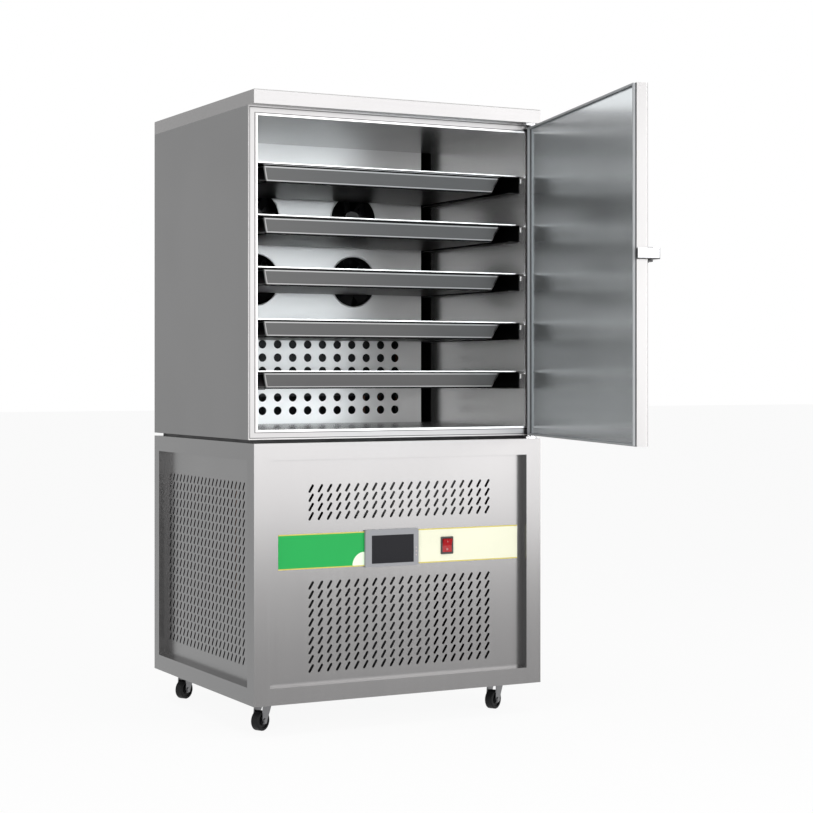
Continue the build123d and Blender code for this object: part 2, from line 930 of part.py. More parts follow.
def front_panel():
    """Recessed front sheet with two groups of slots and cut-outs for the display and the switch."""
    low = rail_height
    high = base_height - rail_height
    face = Plane(origin=(0, recess_y + base_sheet, 0), x_dir=(1, 0, 0), z_dir=(0, -1, 0))
    first = left + front_slot_first
    slots = slot_grid(first, front_lower_first, front_slot_pitch, front_lower_rows)
    slots += slot_grid(first, front_upper_first, front_slot_pitch, front_upper_rows)
    holes = [*slots, rectangle_hole(*display_hole()), rectangle_hole(*switch_hole())]
    return holed_sheet(face, base_inner_left, base_inner_right, low, high, holes, base_sheet)


def display_hole():
    """Corners of the hole in the front panel for the display's body."""
    x0 = left + display_left + display_rim
    z0 = display_bottom + display_rim
    x1 = left + display_left + display_width - display_rim
    return x0, x1, z0, display_bottom + display_height - display_rim


def switch_hole():
    """Corners of the hole in the front panel and its overlay for the switch's body."""
    x0 = left + switch_left + switch_wall / 2
    z0 = switch_bottom + switch_wall / 2
    x1 = left + switch_left + switch_width - switch_wall / 2
    return x0, x1, z0, switch_bottom + switch_height - switch_wall / 2


def side_panel(side):
    """Recessed side sheet with one large group of slots."""
    outer = left + side_recess if side < 0 else right - side_recess
    face = Plane(origin=(outer - side * base_sheet, 0, 0), x_dir=(0, side, 0), z_dir=(side, 0, 0))
    ends = sorted((side * (front + post_width), side * (back - rear_post_width)))
    first = front + side_first_from_front
    if side < 0:
        first = -(first + (slot_columns - 1) * side_slot_pitch)
    slots = slot_grid(first, side_first, side_slot_pitch, side_rows)
    return holed_sheet(face, *ends, rail_height, base_height - rail_height, slots, base_sheet)


def rear_panel():
    """Recessed rear sheet with slots, a hole for the cable gland and four screw holes."""
    face = Plane(origin=(0, rear_recess_y - base_sheet, 0), x_dir=(-1, 0, 0), z_dir=(0, 1, 0))
    first = -(slot_columns - 1) * front_slot_pitch / 2
    holes = slot_grid(first, rear_first, front_slot_pitch, rear_rows)
    holes += [round_hole(-x, z, screw_shank_radius + pin_clearance) for x, z in tab_places()]
    holes.append(round_hole(-gland_x, gland_height, gland_radius))
    low = rail_height
    high = base_height - rail_height
    return holed_sheet(face, -base_inner_right, -base_inner_left, low, high, holes, base_sheet)


def cable_gland():
    """Gland for the supply cable: a dome nut outside, a lock nut inside and a clear bore."""
    body = rod_y(gland_x, gland_height, rear_recess_y - 12, rear_recess_y + 6, gland_radius - running_gap)
    nut = Plane(origin=(gland_x, rear_recess_y, gland_height), x_dir=(1, 0, 0), z_dir=(0, 1, 0))
    dome = extrude(nut * RegularPolygon(gland_radius + 4, 6), 7)
    dome += rod_y(gland_x, gland_height, rear_recess_y + 7, rear_recess_y + 13, gland_radius)
    lock = Pos(0, -base_sheet - 5, 0) * extrude(nut * RegularPolygon(gland_radius + 4, 6), 5)
    bore = rod_y(gland_x, gland_height, rear_recess_y - 20, rear_recess_y + 20, gland_bore_radius)
    return body + dome + lock - bore


def strip_piece(x0, x1):
    """One length of the thin printed overlay on the front panel."""
    return block(x0, x1, recess_y - strip_sheet, recess_y, strip_bottom, strip_bottom + strip_height)


def overlay_green():
    return strip_piece(left + strip_left, left + display_left)


def overlay_cream():
    x0, x1, z0, z1 = switch_hole()
    hole = block(x0, x1, recess_y - strip_sheet, recess_y, z0, z1)
    return strip_piece(left + display_left + display_width, right - strip_right) - hole


def display_bezel():
    """Moulded display housing: a rim in front of the panel and a body behind it."""
    x0 = left + display_left
    x1 = x0 + display_width
    z0 = display_bottom
    z1 = z0 + display_height
    rim = block(x0, x1, recess_y - display_proud, recess_y, z0, z1)
    rim = fillet(rim.edges().filter_by(Axis.Y), 2)
    inset = display_rim + running_gap
    body = block(x0 + inset, x1 - inset, recess_y, recess_y + display_body_depth, z0 + inset, z1 - inset)
    window = block(
        x0 + screen_left,
        x0 + screen_left + screen_width,
        recess_y - display_proud,
        recess_y - display_proud + screen_sheet,
        z0 + screen_bottom,
        z0 + screen_bottom + screen_height,
    )
    return rim + body - window


def display_screen():
    x0 = left + display_left + screen_left
    y0 = recess_y - display_proud + screen_sheet / 3
    z0 = display_bottom + screen_bottom
    return block(x0, x0 + screen_width, y0, y0 + screen_sheet * 2 / 3, z0, z0 + screen_height)


def switch_bezel():
    """Black frame and body of the rocker switch, with two side bores for the rocker's pins."""
    x0 = left + switch_left
    x1 = x0 + switch_width
    z0 = switch_bottom
    z1 = z0 + switch_height
    w = switch_wall
    rim = block(x0, x1, switch_face, recess_y - strip_sheet, z0, z1)
    rim = fillet(rim.edges().filter_by(Axis.Y), 1.5)
    inset = w / 2 + running_gap
    y1 = recess_y + switch_body_depth
    body = block(x0 + inset, x1 - inset, recess_y - strip_sheet, y1, z0 + inset, z1 - inset)
    middle_z = (z0 + z1) / 2
    well_z = rocker_radius + running_gap
    well = block(x0 + w, x1 - w, front, y1 - 1, middle_z - well_z, middle_z + well_z)
    pins = rod_x(rocker_y, middle_z, x0 + inset, x1 - inset, rocker_pin_radius + pin_clearance)
    return rim + body - well - pins


def rocker():
    """Red rocker: a round back that stays in its well, and a shallow V in front."""
    x0 = left + switch_left + switch_wall + running_gap
    x1 = left + switch_left + switch_width - switch_wall - running_gap
    z = switch_bottom + switch_height / 2
    r = rocker_radius
    profile = Plane.YZ.offset(x0) * Polygon(
        (-rocker_dish, 0),
        (-rocker_dish - rocker_rise, r),
        (2 * r, r),
        (2 * r, -r),
        (-rocker_dish - rocker_rise, -r),
        align=None,
    )
    drum = rod_x(0, 0, x0, x1, r) & extrude(profile, x1 - x0, dir=(1, 0, 0))
    drum += rod_x(0, 0, x0 - rocker_pin_length, x1 + rocker_pin_length, rocker_pin_radius)
    return Pos(0, rocker_y, z) * Rot(rocker_rest_tilt, 0, 0) * drum


def caster_plate(x, y):
    """Mounting plate with its raceway and a king pin with a head."""
    half = caster_plate_size / 2
    plate = block(x - half, x + half, y - half, y + half, -caster_plate_sheet, 0)
    plate = fillet(plate.edges().filter_by(Axis.Z), caster_plate_radius)
    head_top = crown_low - running_gap
    plate += post(x, y, race_low, -caster_plate_sheet, raceway_radius)
    plate += post(x, y, head_top, race_low, king_pin_radius)
    plate += post(x, y, head_top - king_head_height, head_top, king_head_radius)
    return plate


def fork_leg():
    """One side of a fork: wide under the crown, narrow round the axle."""
    leg = Plane.XZ * Polygon(
        (raceway_radius - 3, crown_low),
        (-raceway_radius - 2, crown_low),
        (-caster_trail - 8, axle_z + 3),
        (-caster_trail - 5, axle_z - 6),
        (-caster_trail + 5, axle_z - 6),
        (-caster_trail + 8, axle_z + 1),
        align=None,
    )
    return extrude(leg, fork_sheet, dir=(0, -1, 0))


def caster_fork():
    """Crown and two legs in one piece, made straight and turned later to the caster's angle."""
    side = fork_half + fork_sheet
    crown = block(-raceway_radius - 2, raceway_radius - 3, -side, side, crown_low, crown_top)
    fork = crown + Pos(0, -fork_half, 0) * fork_leg() + Pos(0, side, 0) * fork_leg()
    fork -= post(0, 0, crown_low, crown_top, king_pin_radius + pin_clearance)
    fork -= rod_y(-caster_trail, axle_z, -side, side, axle_radius + pin_clearance)
    return fork


def caster_axle():
    """Axle with a head and a nut outside the fork's legs."""
    side = fork_half + fork_sheet
    axle = rod_y(-caster_trail, axle_z, -side, side, axle_radius)
    axle += rod_y(-caster_trail, axle_z, -side - axle_head, -side, axle_radius + axle_head)
    axle += rod_y(-caster_trail, axle_z, side, side + axle_head, axle_radius + axle_head)
    return axle


def caster_wheel():
    """Wheel with a rounded tread and a hub that stands in a shallow recess on each side."""
    half = wheel_width / 2
    wheel = rod_y(-caster_trail, axle_z, -half, half, wheel_radius)
    wheel = fillet(wheel.edges(), wheel_edge_radius)
    for y0 in (-half, half - wheel_hub_recess):
        ring = rod_y(-caster_trail, axle_z, y0, y0 + wheel_hub_recess, wheel_rim_radius)
        wheel -= ring - rod_y(-caster_trail, axle_z, y0, y0 + wheel_hub_recess, wheel_hub_radius)
    return wheel - rod_y(-caster_trail, axle_z, -half, half, axle_radius + pin_clearance)


def at_caster(place, shape):
    x, y = place
    return Pos(x, y, 0) * Rot(0, 0, caster_angle) * shape


def compressor():
    """Hermetic compressor on a foot plate and four rubber feet."""
    x = compressor_x
    y = compressor_y
    foot_top = floor_sheet + compressor_foot_height
    plate_top = foot_top + compressor_plate
    half_x = compressor_radius + 20
    half_y = compressor_radius - 8
    plate = block(x - half_x, x + half_x, y - half_y, y + half_y, foot_top, plate_top)
    shell = post(x, y, plate_top, compressor_top, compressor_radius)
    shell = fillet(shell.edges().group_by(Axis.Z)[-1], compressor_dome)
    box_x = x + compressor_radius
    box = block(box_x - 8, box_x + 30, y - 25, y + 25, plate_top + 50, plate_top + 110)
    feet = []
    for side_x in (-1, 1):
        for side_y in (-1, 1):
            foot_x = x + side_x * (half_x - compressor_foot_radius - 2)
            foot_y = y + side_y * (half_y - compressor_foot_radius - 2)
            feet.append(post(foot_x, foot_y, floor_sheet, foot_top, compressor_foot_radius))
    return [plate + shell + box, *feet]


def condenser_places():
    x0 = left + condenser_left
    y0 = front + condenser_front
    return x0, x0 + condenser_width, y0, y0 + condenser_depth


def condenser_coil():
    """Finned core between two end plates that stand on the floor."""
    x0, x1, y0, y1 = condenser_places()
    z0 = floor_sheet + condenser_foot
    z1 = z0 + condenser_height
    s = coil_end_sheet
    return [
        block(x0 + s, x1 - s, y0, y1, z0, z1),
        block(x0, x0 + s, y0, y1, floor_sheet, z1 + s),
        block(x1 - s, x1, y0, y1, floor_sheet, z1 + s),
    ]


def condenser_fan_place():
    x0, x1, y0, y1 = condenser_places()
    return (x0 + x1) / 2, floor_sheet + condenser_foot + condenser_height / 2, y1


def condenser_shroud():
    """Plate with a round throat behind the coil, and a bar that holds the fan motor."""
    x0, x1, y0, y1 = condenser_places()
    x, z, plate_front = condenser_fan_place()
    z1 = floor_sheet + condenser_foot + condenser_height + coil_end_sheet
    plate = block(x0, x1, plate_front, plate_front + shroud_sheet, floor_sheet, z1)
    plate -= rod_y(x, z, plate_front - 1, plate_front + shroud_sheet + 1, shroud_bore_radius)
    ring_back = plate_front + shroud_sheet + shroud_ring_depth
    ring = rod_y(x, z, plate_front, ring_back, shroud_bore_radius + shroud_ring_wall)
    plate += ring - rod_y(x, z, plate_front, ring_back, shroud_bore_radius)
    motor_front = plate_front + condenser_motor_gap
    motor_back = motor_front + condenser_motor_depth
    half = motor_bar_height / 2
    bar = block(x0, x1, motor_back, motor_back + motor_bar, z - half, z + half)
    arms = block(x0, x0 + motor_bar, plate_front + shroud_sheet, motor_back, z - half, z + half)
    arms += block(x1 - motor_bar, x1, plate_front + shroud_sheet, motor_back, z - half, z + half)
    motor = rod_y(x, z, motor_front, motor_back, condenser_motor_radius)
    bearing = rod_y(x, z, motor_front - 1, motor_back - 5, condenser_shaft_radius + pin_clearance)
    return plate + bar + arms + motor - bearing


def condenser_rotor():
    x, z, plate_front = condenser_fan_place()
    hub_front = plate_front + shroud_sheet + 1
    hub_depth = condenser_motor_gap - shroud_sheet - 3
    rotor = axial_rotor(
        x,
        z,
        hub_front,
        hub_depth,
        condenser_hub_radius,
        condenser_fan_reach,
        condenser_fan_blades,
        hub_depth,
        42,
        2,
    )
    shaft_end = plate_front + condenser_motor_gap + condenser_motor_depth / 2
    return rotor + rod_y(x, z, hub_front + 2, shaft_end, condenser_shaft_radius)


def receiver():
    tank = post(receiver_x, receiver_y, floor_sheet, floor_sheet + receiver_height, receiver_radius)
    return fillet(tank.edges().group_by(Axis.Z)[-1], receiver_radius * 0.6)


def control_box():
    """Electrical box hung under the cross rail."""
    x0 = left + control_box_left
    y0 = front + control_box_front
    z1 = base_height - rail_height
    box = block(
        x0, x0 + control_box_width, y0, y0 + control_box_depth, z1 - control_box_height, z1
    )
    return box


def condensate_pan():
    x0 = drain_x - pan_width / 2
    y0 = drain_y - pan_depth / 2
    outer = block(x0, x0 + pan_width, y0, y0 + pan_depth, floor_sheet, floor_sheet + pan_height)
    s = pan_sheet
    inside = block(
        x0 + s,
        x0 + pan_width - s,
        y0 + s,
        y0 + pan_depth - s,
        floor_sheet + s,
        floor_sheet + pan_height,
    )
    return outer - inside


def bent_pipe(points, radius):
    """A pipe of round section along straight runs with rounded corners."""
    path = FilletPolyline(*points, radius=pipe_bend)
    section = Plane(origin=points[0], z_dir=path % 0) * Circle(radius)
    return sweep(section, path=path)


def discharge_pipe():
    """From the compressor's top to the condenser's top."""
    x = compressor_x + discharge_offset_x
    y = compressor_y + discharge_offset_y
    coil_y = front + condenser_front + condenser_depth / 2
    coil_top = floor_sheet + condenser_foot + condenser_height
    high = compressor_top + discharge_rise
    return bent_pipe([(x, y, compressor_top), (x, y, high), (x, coil_y, high), (x, coil_y, coil_top)], liquid_radius)


def liquid_pipes():
    """From the condenser to the receiver, then through the filter drier up to the evaporator."""
    x0 = left + condenser_left + condenser_width
    coil_y = front + condenser_front + condenser_depth / 2
    z = liquid_port_height
    reach = x0 + liquid_port_reach
    first = bent_pipe(
        [(x0, coil_y, z), (reach, coil_y, z), (reach, receiver_y, z), (receiver_x - receiver_radius, receiver_y, z)],
        liquid_radius,
    )
    tank_top = floor_sheet + receiver_height
    high = liquid_run_height
    coil_low = chamber_floor + coil_foot_height
    second = bent_pipe(
        [
            (receiver_x, receiver_y, tank_top),
            (receiver_x, receiver_y, high),
            (liquid_x, pipe_y, high),
            (liquid_x, pipe_y, coil_low),
        ],
        liquid_radius,
    )
    can_low = drier_bottom
    can_high = drier_bottom + drier_length
    middle = (can_low + can_high) / 2
    can = post(liquid_x, pipe_y, can_low + drier_taper, can_high - drier_taper, drier_radius)
    cone = Cone(liquid_radius + 1, drier_radius, drier_taper)
    can += Pos(liquid_x, pipe_y, can_low + drier_taper / 2) * cone
    can += Pos(liquid_x, pipe_y, can_high - drier_taper / 2) * Rot(180, 0, 0) * cone
    return [first, second + can]


def suction_pipe():
    """From the evaporator down to the compressor's top."""
    x = compressor_x + suction_offset_x
    y = compressor_y + suction_offset_y
    z = suction_run_height
    return bent_pipe(
        [
            (suction_x, pipe_y, chamber_floor + coil_foot_height),
            (suction_x, pipe_y, z),
            (suction_x, y, z),
            (x, y, z),
            (x, y, compressor_top),
        ],
        suction_radius,
    )


def panel_screw(x, z):
    """Pan-head screw that holds the rear panel to its tab."""
    head = rod_y(x, z, rear_recess_y, rear_recess_y + screw_head_height, screw_head_radius)
    return head + rod_y(x, z, rear_recess_y - screw_shank_length, rear_recess_y, screw_shank_radius)


def save_base():
    save("base_frame", *base_frame())
    save("base_floor", base_floor())
    save("front_panel", front_panel())
    save("left_panel", side_panel(-1))
    save("right_panel", side_panel(1))
    save("rear_panel", rear_panel())
    save("panel_screws", *[panel_screw(x, z) for x, z in tab_places()])
    save("cable_gland", cable_gland())
    save("overlay_green", overlay_green())
    save("overlay_cream", overlay_cream())
    save("display_bezel", display_bezel())
    save("display_screen", display_screen())
    save("switch_bezel", switch_bezel())
    save("rocker", rocker())


def save_machine():
    save("compressor", *compressor())
    save("condenser_coil", *condenser_coil())
    save("condenser_shroud", condenser_shroud())
    save("condenser_rotor", condenser_rotor())
    save("receiver", receiver())
    save("control_box", control_box())
    save("refrigerant_pipes", discharge_pipe(), *liquid_pipes(), suction_pipe())
    save("drain", drain_pipe(), condensate_pan())


def save_cabinet():
    save("spacer_frame", *spacer_frame())
    save("outer_skin", outer_skin())
    save("top_cap", top_cap())
    save("insulation", *insulation())
    save("liner", inner_liner())
    save("front_frame", front_frame())
    save("fan_panel", fan_panel())
    save("evaporator_coil", *evaporator_coil())
    save("fan_frames", *[fan_frame(x, z) for x, z in fan_places])
    save("air_probe", air_probe())
    runners = [tray_runner(side, number) for side in (-1, 1) for number in range(tray_count)]
    save("tray_runners", *runners)
    for number, (x, z) in enumerate(fan_places):
        save(f"fan_rotor_{number + 1}", evaporator_rotor(x, z))
    for number in range(tray_count):
        save(f"tray_{number + 1}", tray(number))


def save_door():
    save("hinge_top", hinge_bracket(True))
    save("hinge_bottom", hinge_bracket(False))
    save("door_skin", swing(door_outer_skin()))
    save("door_inner_panel", swing(door_inner_panel()))
    save("door_foam", swing(door_foam()))
    save("door_gasket", swing(door_gasket()))
    save("door_hinge_bushes", *[swing(bush) for bush in hinge_bushes()])
    save("latch_base", swing(latch_base()))
    save("latch_lever", swing(latch_lever()))


def save_casters():
    save("caster_plates", *[caster_plate(x, y) for x, y in caster_places])
    for number, place in enumerate(caster_places):
        save(f"caster_fork_{number + 1}", at_caster(place, caster_fork()), at_caster(place, caster_axle()))
        save(f"caster_wheel_{number + 1}", at_caster(place, caster_wheel()))


os.makedirs("parts", exist_ok=True)
save_base()
save_machine()
save_cabinet()
save_door()
save_casters()
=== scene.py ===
import json
import math

import bmesh
import bpy
from mathutils import Matrix, Vector


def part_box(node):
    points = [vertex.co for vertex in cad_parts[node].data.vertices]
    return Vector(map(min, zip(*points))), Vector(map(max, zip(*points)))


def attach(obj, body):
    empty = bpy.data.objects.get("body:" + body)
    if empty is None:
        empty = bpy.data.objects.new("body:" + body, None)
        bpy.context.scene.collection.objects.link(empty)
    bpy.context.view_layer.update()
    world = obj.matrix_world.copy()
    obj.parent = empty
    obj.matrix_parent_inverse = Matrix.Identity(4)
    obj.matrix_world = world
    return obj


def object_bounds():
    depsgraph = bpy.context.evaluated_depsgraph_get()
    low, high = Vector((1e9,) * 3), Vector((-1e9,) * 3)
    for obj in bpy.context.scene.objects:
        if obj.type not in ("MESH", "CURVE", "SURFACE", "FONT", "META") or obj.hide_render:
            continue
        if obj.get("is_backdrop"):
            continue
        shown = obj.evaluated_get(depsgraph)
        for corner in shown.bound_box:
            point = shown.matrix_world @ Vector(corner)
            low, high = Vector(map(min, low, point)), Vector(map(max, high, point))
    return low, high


bl_info = {
    "name": "Blast freezer finish",
    "version": (1, 0, 0),
    "blender": (4, 5, 0),
    "location": "3D View > Sidebar > Freezer",
    "description": "Dresses the packed blast freezer with its finishes, small pieces and studio",
    "category": "Object",
}

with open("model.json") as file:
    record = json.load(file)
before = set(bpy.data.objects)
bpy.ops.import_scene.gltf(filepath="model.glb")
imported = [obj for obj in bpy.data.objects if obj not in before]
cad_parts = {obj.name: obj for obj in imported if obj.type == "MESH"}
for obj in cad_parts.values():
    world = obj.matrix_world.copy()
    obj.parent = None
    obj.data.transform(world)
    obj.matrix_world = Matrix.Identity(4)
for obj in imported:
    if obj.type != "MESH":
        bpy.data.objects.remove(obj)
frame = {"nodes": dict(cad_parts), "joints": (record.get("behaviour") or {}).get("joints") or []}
NODES = frame["nodes"]
RIGHT, BACK, UP = 0, 1, 2
DOOR_FACE = 0.004  # from the hinge's axis to the door's inner face
FAN_HOLE = 0.0565  # radius of a fan hole in the fan panel
RETURN_TUBE = 0.0042  # radius of a coil's return bend tube
FIN_HEAD = 0.004  # from a coil's top to the top of its fins
BEND_MARGIN = 0.03  # height of a coil that its column of bends leaves free
FILTER_GAP = 0.0025  # from a slotted panel to the filter behind it
FLOOR_GLOW = 0.92  # share of the backdrop's light in what the camera sees of the floor
DEEP_SHADE_BLACK = (0.012, 0.012, 0.012)  # painted shade: inside the slots, and under the trays' lip and foot
DULL_SHADE_BLACK = (0.02, 0.02, 0.02)  # painted shade: the runners, and the liner behind the fan panel
EDGE_HIGHLIGHT = (0.80, 0.80, 0.80)  # painted highlight: the trays' rim and the runners' hook
BEND_HIGHLIGHT = (0.62, 0.62, 0.62)  # painted highlight: the trays' bends and corners
CAMERA_PLACE = (-1.7692, -3.6666, 0.6488)
CAMERA_TURN = -27.678  # degrees about Z, from looking straight along Y
CAMERA_LENS = 83.886  # focal length in millimetres, for the sensor's width below
CAMERA_SENSOR = 36.0
CAMERA_SHIFT = -0.0415  # upright shift of the frame


# Geometry and node helpers


def new_node(tree, kind, values=None, **settings):
    """A new node with its settings and socket values; a socket as value is linked."""
    made = tree.nodes.new(kind)
    for key, value in settings.items():
        setattr(made, key, value)
    for key, value in (values or {}).items():
        if isinstance(value, bpy.types.NodeSocket):
            tree.links.new(value, made.inputs[key])
        else:
            made.inputs[key].default_value = value
    return made


def box_of(node):
    """Lowest and highest corner of a CAD node, in metres."""
    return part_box(node)


class Finish:
    """A material being mixed: its shader, and short ways to draw patterns for it."""

    def __init__(self, name, **values):
        self.material = bpy.data.materials.new(name)
        self.material.use_nodes = True
        self.tree = self.material.node_tree
        self.tree.nodes.clear()
        self.shader = self.add("ShaderNodeBsdfPrincipled")
        out = self.add("ShaderNodeOutputMaterial")
        self.tree.links.new(self.shader.outputs[0], out.inputs[0])
        self.set(**values)

    def add(self, kind, values=None, **settings):
        return new_node(self.tree, kind, values, **settings)

    def set(self, **values):
        """Shader sockets by name, with spaces for underscores; a socket as value is linked."""
        for key, value in values.items():
            socket = self.shader.inputs[key.replace("_", " ")]
            if isinstance(value, bpy.types.NodeSocket):
                self.tree.links.new(value, socket)
            elif socket.type == "RGBA":
                socket.default_value = (*value, 1.0)
            else:
                socket.default_value = value

    def place(self, stretch=(1, 1, 1), shift=(0, 0, 0), turn=(0, 0, 0)):
        """Object coordinates, stretched, turned and then shifted."""
        at = self.add("ShaderNodeTexCoord").outputs["Object"]
        values = {"Vector": at, "Location": shift, "Rotation": turn, "Scale": stretch}
        return self.add("ShaderNodeMapping", values).outputs[0]

    def axis(self, which):
        """The object coordinate along X, Y or Z, in metres."""
        at = self.add("ShaderNodeTexCoord").outputs["Object"]
        return self.add("ShaderNodeSeparateXYZ", {0: at}).outputs[which]

    def facing(self, which):
        """How far the surface faces along X, Y or Z of the object, from -1 to 1."""
        normal = self.add("ShaderNodeTexCoord").outputs["Normal"]
        return self.add("ShaderNodeSeparateXYZ", {0: normal}).outputs[which]

    def noise(self, stretch, detail=3.0, rough=0.6):
        values = {"Vector": self.place(stretch), "Scale": 1.0, "Detail": detail, "Roughness": rough}
        return self.add("ShaderNodeTexNoise", values).outputs[0]

    def math(self, operation, first, second=0.0, third=0.0, clamp=False):
        values = {0: first, 1: second, 2: third}
        return self.add("ShaderNodeMath", values, operation=operation, use_clamp=clamp).outputs[0]

    def ramp(self, value, low, high, start=0.0, end=1.0, smooth=True):
        """Value from low to high, mapped to start to end and held beyond."""
        values = {0: value, 1: low, 2: high, 3: start, 4: end}
        kind = "SMOOTHSTEP" if smooth else "LINEAR"
        return self.add("ShaderNodeMapRange", values, interpolation_type=kind).outputs[0]

    def band(self, value, low, high, soft=0.0004):
        """1 between low and high, falling to 0 over soft on each side."""
        up = self.ramp(value, low - soft, low + soft)
        down = self.ramp(value, high - soft, high + soft)
        return self.math("SUBTRACT", up, down, clamp=True)

    def blend(self, factor, first, second):
        """Colour from first to second by factor."""
        node = self.add("ShaderNodeMix", {0: factor}, data_type="RGBA")
        for index, colour in ((6, first), (7, second)):
            if isinstance(colour, bpy.types.NodeSocket):
                self.tree.links.new(colour, node.inputs[index])
            else:
                node.inputs[index].default_value = (*colour, 1.0)
        return node.outputs[2]

    def relief(self, height, strength=0.2, distance=0.001):
        """Bump from a height."""
        values = {"Strength": strength, "Distance": distance, "Height": height}
        self.set(Normal=self.add("ShaderNodeBump", values).outputs[0])


def tint(colour, amount):
    return tuple(max(0.0, min(1.0, c * amount)) for c in colour)


GRAIN = {
    "up": ((160, 160, 1.6), (900, 900, 8)),
    "across": ((1.6, 1.6, 160), (8, 8, 900)),
    "deep": ((160, 1.6, 160), (900, 8, 900)),
    "along": ((1.6, 160, 160), (8, 900, 900)),
}


def brushed(name, colour, roughness, grain="up", spread=0.10, relief=0.02, cloud=0.06, metal=1.0,
            wear=0.04):
    """Brushed sheet: fine lines along the grain, soft clouds of tone and a little wear in the gloss."""
    made = Finish(name, Metallic=metal)
    coarse, fine = GRAIN[grain]
    lines = made.noise(coarse, 6.0, 0.65)
    hair = made.noise(fine, 2.0, 0.5)
    mixed = made.math("ADD", made.math("MULTIPLY", lines, 0.7), made.math("MULTIPLY", hair, 0.3))
    wide = made.noise((2.2, 2.2, 2.2), 2.0, 0.5)
    streak = made.ramp(mixed, 0.3, 0.7, smooth=False)
    base = made.blend(streak, tint(colour, 1 - spread), tint(colour, 1 + spread))
    cloudy = made.blend(made.ramp(wide, 0.35, 0.65), tint(colour, 1 - cloud), tint(colour, 1 + cloud))
    made.tone = made.blend(0.5, base, cloudy)
    made.set(
        Base_Color=made.tone,
        Roughness=made.ramp(mixed, 0.25, 0.75, roughness - wear, roughness + wear, smooth=False),
    )
    made.relief(mixed, relief, 0.0004)
    return made


def outward(finish, which, middle):
    """1 where the surface faces away from the middle along an axis, 0 where it faces in or across."""
    side = finish.math("SIGN", finish.math("SUBTRACT", finish.axis(which), middle))
    return finish.ramp(finish.math("MULTIPLY", finish.facing(which), side), 0.85, 0.95)


def recolour(finish, *layers):
    """Colours laid over the finish's tone, each where its factor is 1."""
    for factor, colour in layers:
        finish.tone = finish.blend(factor, finish.tone, colour)
    finish.set(Base_Color=finish.tone)


def moulded(name, colour, roughness, grain=1400.0, relief=0.12, spread=0.08):
    """Moulded plastic or rubber: fine texture, slightly uneven gloss."""
    made = Finish(name)
    texture = made.noise((grain,) * 3, 3.0, 0.6)
    wide = made.noise((30, 30, 30), 3.0, 0.5)
    made.set(
        Base_Color=made.blend(wide, tint(colour, 1 - spread), tint(colour, 1 + spread)),
        Roughness=made.ramp(wide, 0.3, 0.7, roughness - 0.06, roughness + 0.06, smooth=False),
    )
    made.relief(texture, relief, 0.0003)
    return made


def give(finish, *nodes):
    """The finish goes on each CAD node."""
    for name in nodes:
        data = NODES[name].data
        data.materials.clear()
        data.materials.append(finish.material)


def piece(name, mesh, body, finish=None):
    """A finished mesh becomes a piece on its body, with its finish."""
    made = bpy.data.objects.new(name, mesh)
    bpy.context.scene.collection.objects.link(made)
    if finish is not None:
        mesh.materials.clear()
        mesh.materials.append(finish.material)
    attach(made, body)


def baked(name, tree, values, body):
    """Runs a geometry tree with its inputs set by identifier, and keeps the result as a plain mesh."""
    carrier = bpy.data.objects.new(name + "_grown", bpy.data.meshes.new(name + "_seed"))
    bpy.context.scene.collection.objects.link(carrier)
    modifier = carrier.modifiers.new(name, "NODES")
    modifier.node_group = tree
    sockets = {s.name: s.identifier for s in tree.interface.items_tree if getattr(s, "in_out", "") == "INPUT"}
    for key, value in values.items():
        modifier[sockets[key]] = value
    bpy.context.view_layer.update()
    seen = carrier.evaluated_get(bpy.context.evaluated_depsgraph_get())
    mesh = bpy.data.meshes.new_from_object(seen)
    mesh.name = name
    bpy.data.objects.remove(carrier)
    if not mesh.polygons:
        raise RuntimeError(f"{name} came out empty")
    piece(name, mesh, body)


class Growth:
    """A geometry tree being built, with named inputs."""

    def __init__(self, name, **inputs):
        self.tree = bpy.data.node_groups.new(name, "GeometryNodeTree")
        kinds = {"float": "NodeSocketFloat", "int": "NodeSocketInt", "tuple": "NodeSocketVector"}
        self.tree.interface.new_socket("Geometry", in_out="OUTPUT", socket_type="NodeSocketGeometry")
        for key, value in inputs.items():
            kind = "NodeSocketMaterial" if value is None else kinds[type(value).__name__]
            socket = self.tree.interface.new_socket(key, in_out="INPUT", socket_type=kind)
            if value is not None:
                socket.default_value = value
        self.given = self.tree.nodes.new("NodeGroupInput").outputs
        self.result = self.tree.nodes.new("NodeGroupOutput").inputs[0]

    def add(self, kind, values=None, **settings):
        return new_node(self.tree, kind, values, **settings)

    def finish(self, geometry, material="Finish"):
        """Realizes the instances, sets the material and ends the tree."""
        real = self.add("GeometryNodeRealizeInstances", {0: geometry}).outputs[0]
        done = self.add("GeometryNodeSetMaterial", {"Geometry": real, "Material": self.given[material]})
        self.tree.links.new(done.outputs[0], self.result)
        return self.tree


def bm_mesh(name, builder):
    """A mesh made by builder(bm)."""
    bm = bmesh.new()
    builder(bm)
    bmesh.ops.remove_doubles(bm, verts=bm.verts, dist=1e-7)
    bmesh.ops.recalc_face_normals(bm, faces=bm.faces)
    mesh = bpy.data.meshes.new(name)
    bm.to_mesh(mesh)
    bm.free()
    return mesh


def ring(bm, centre, axis_matrix, profile, steps=48):
    """Turns a closed profile of (radius, height) points about an axis."""
    rows = []
    for k in range(steps):
        a = 2 * math.pi * k / steps
        turned = [axis_matrix @ Vector((r * math.cos(a), r * math.sin(a), h)) for r, h in profile]
        rows.append([bm.verts.new(Vector(centre) + p) for p in turned])
    count = len(profile)
    for k in range(steps):
        for i in range(count):
            j = (i + 1) % count
            bm.faces.new((rows[k][i], rows[(k + 1) % steps][i], rows[(k + 1) % steps][j], rows[k][j]))


# Sizes and colours that a user would change


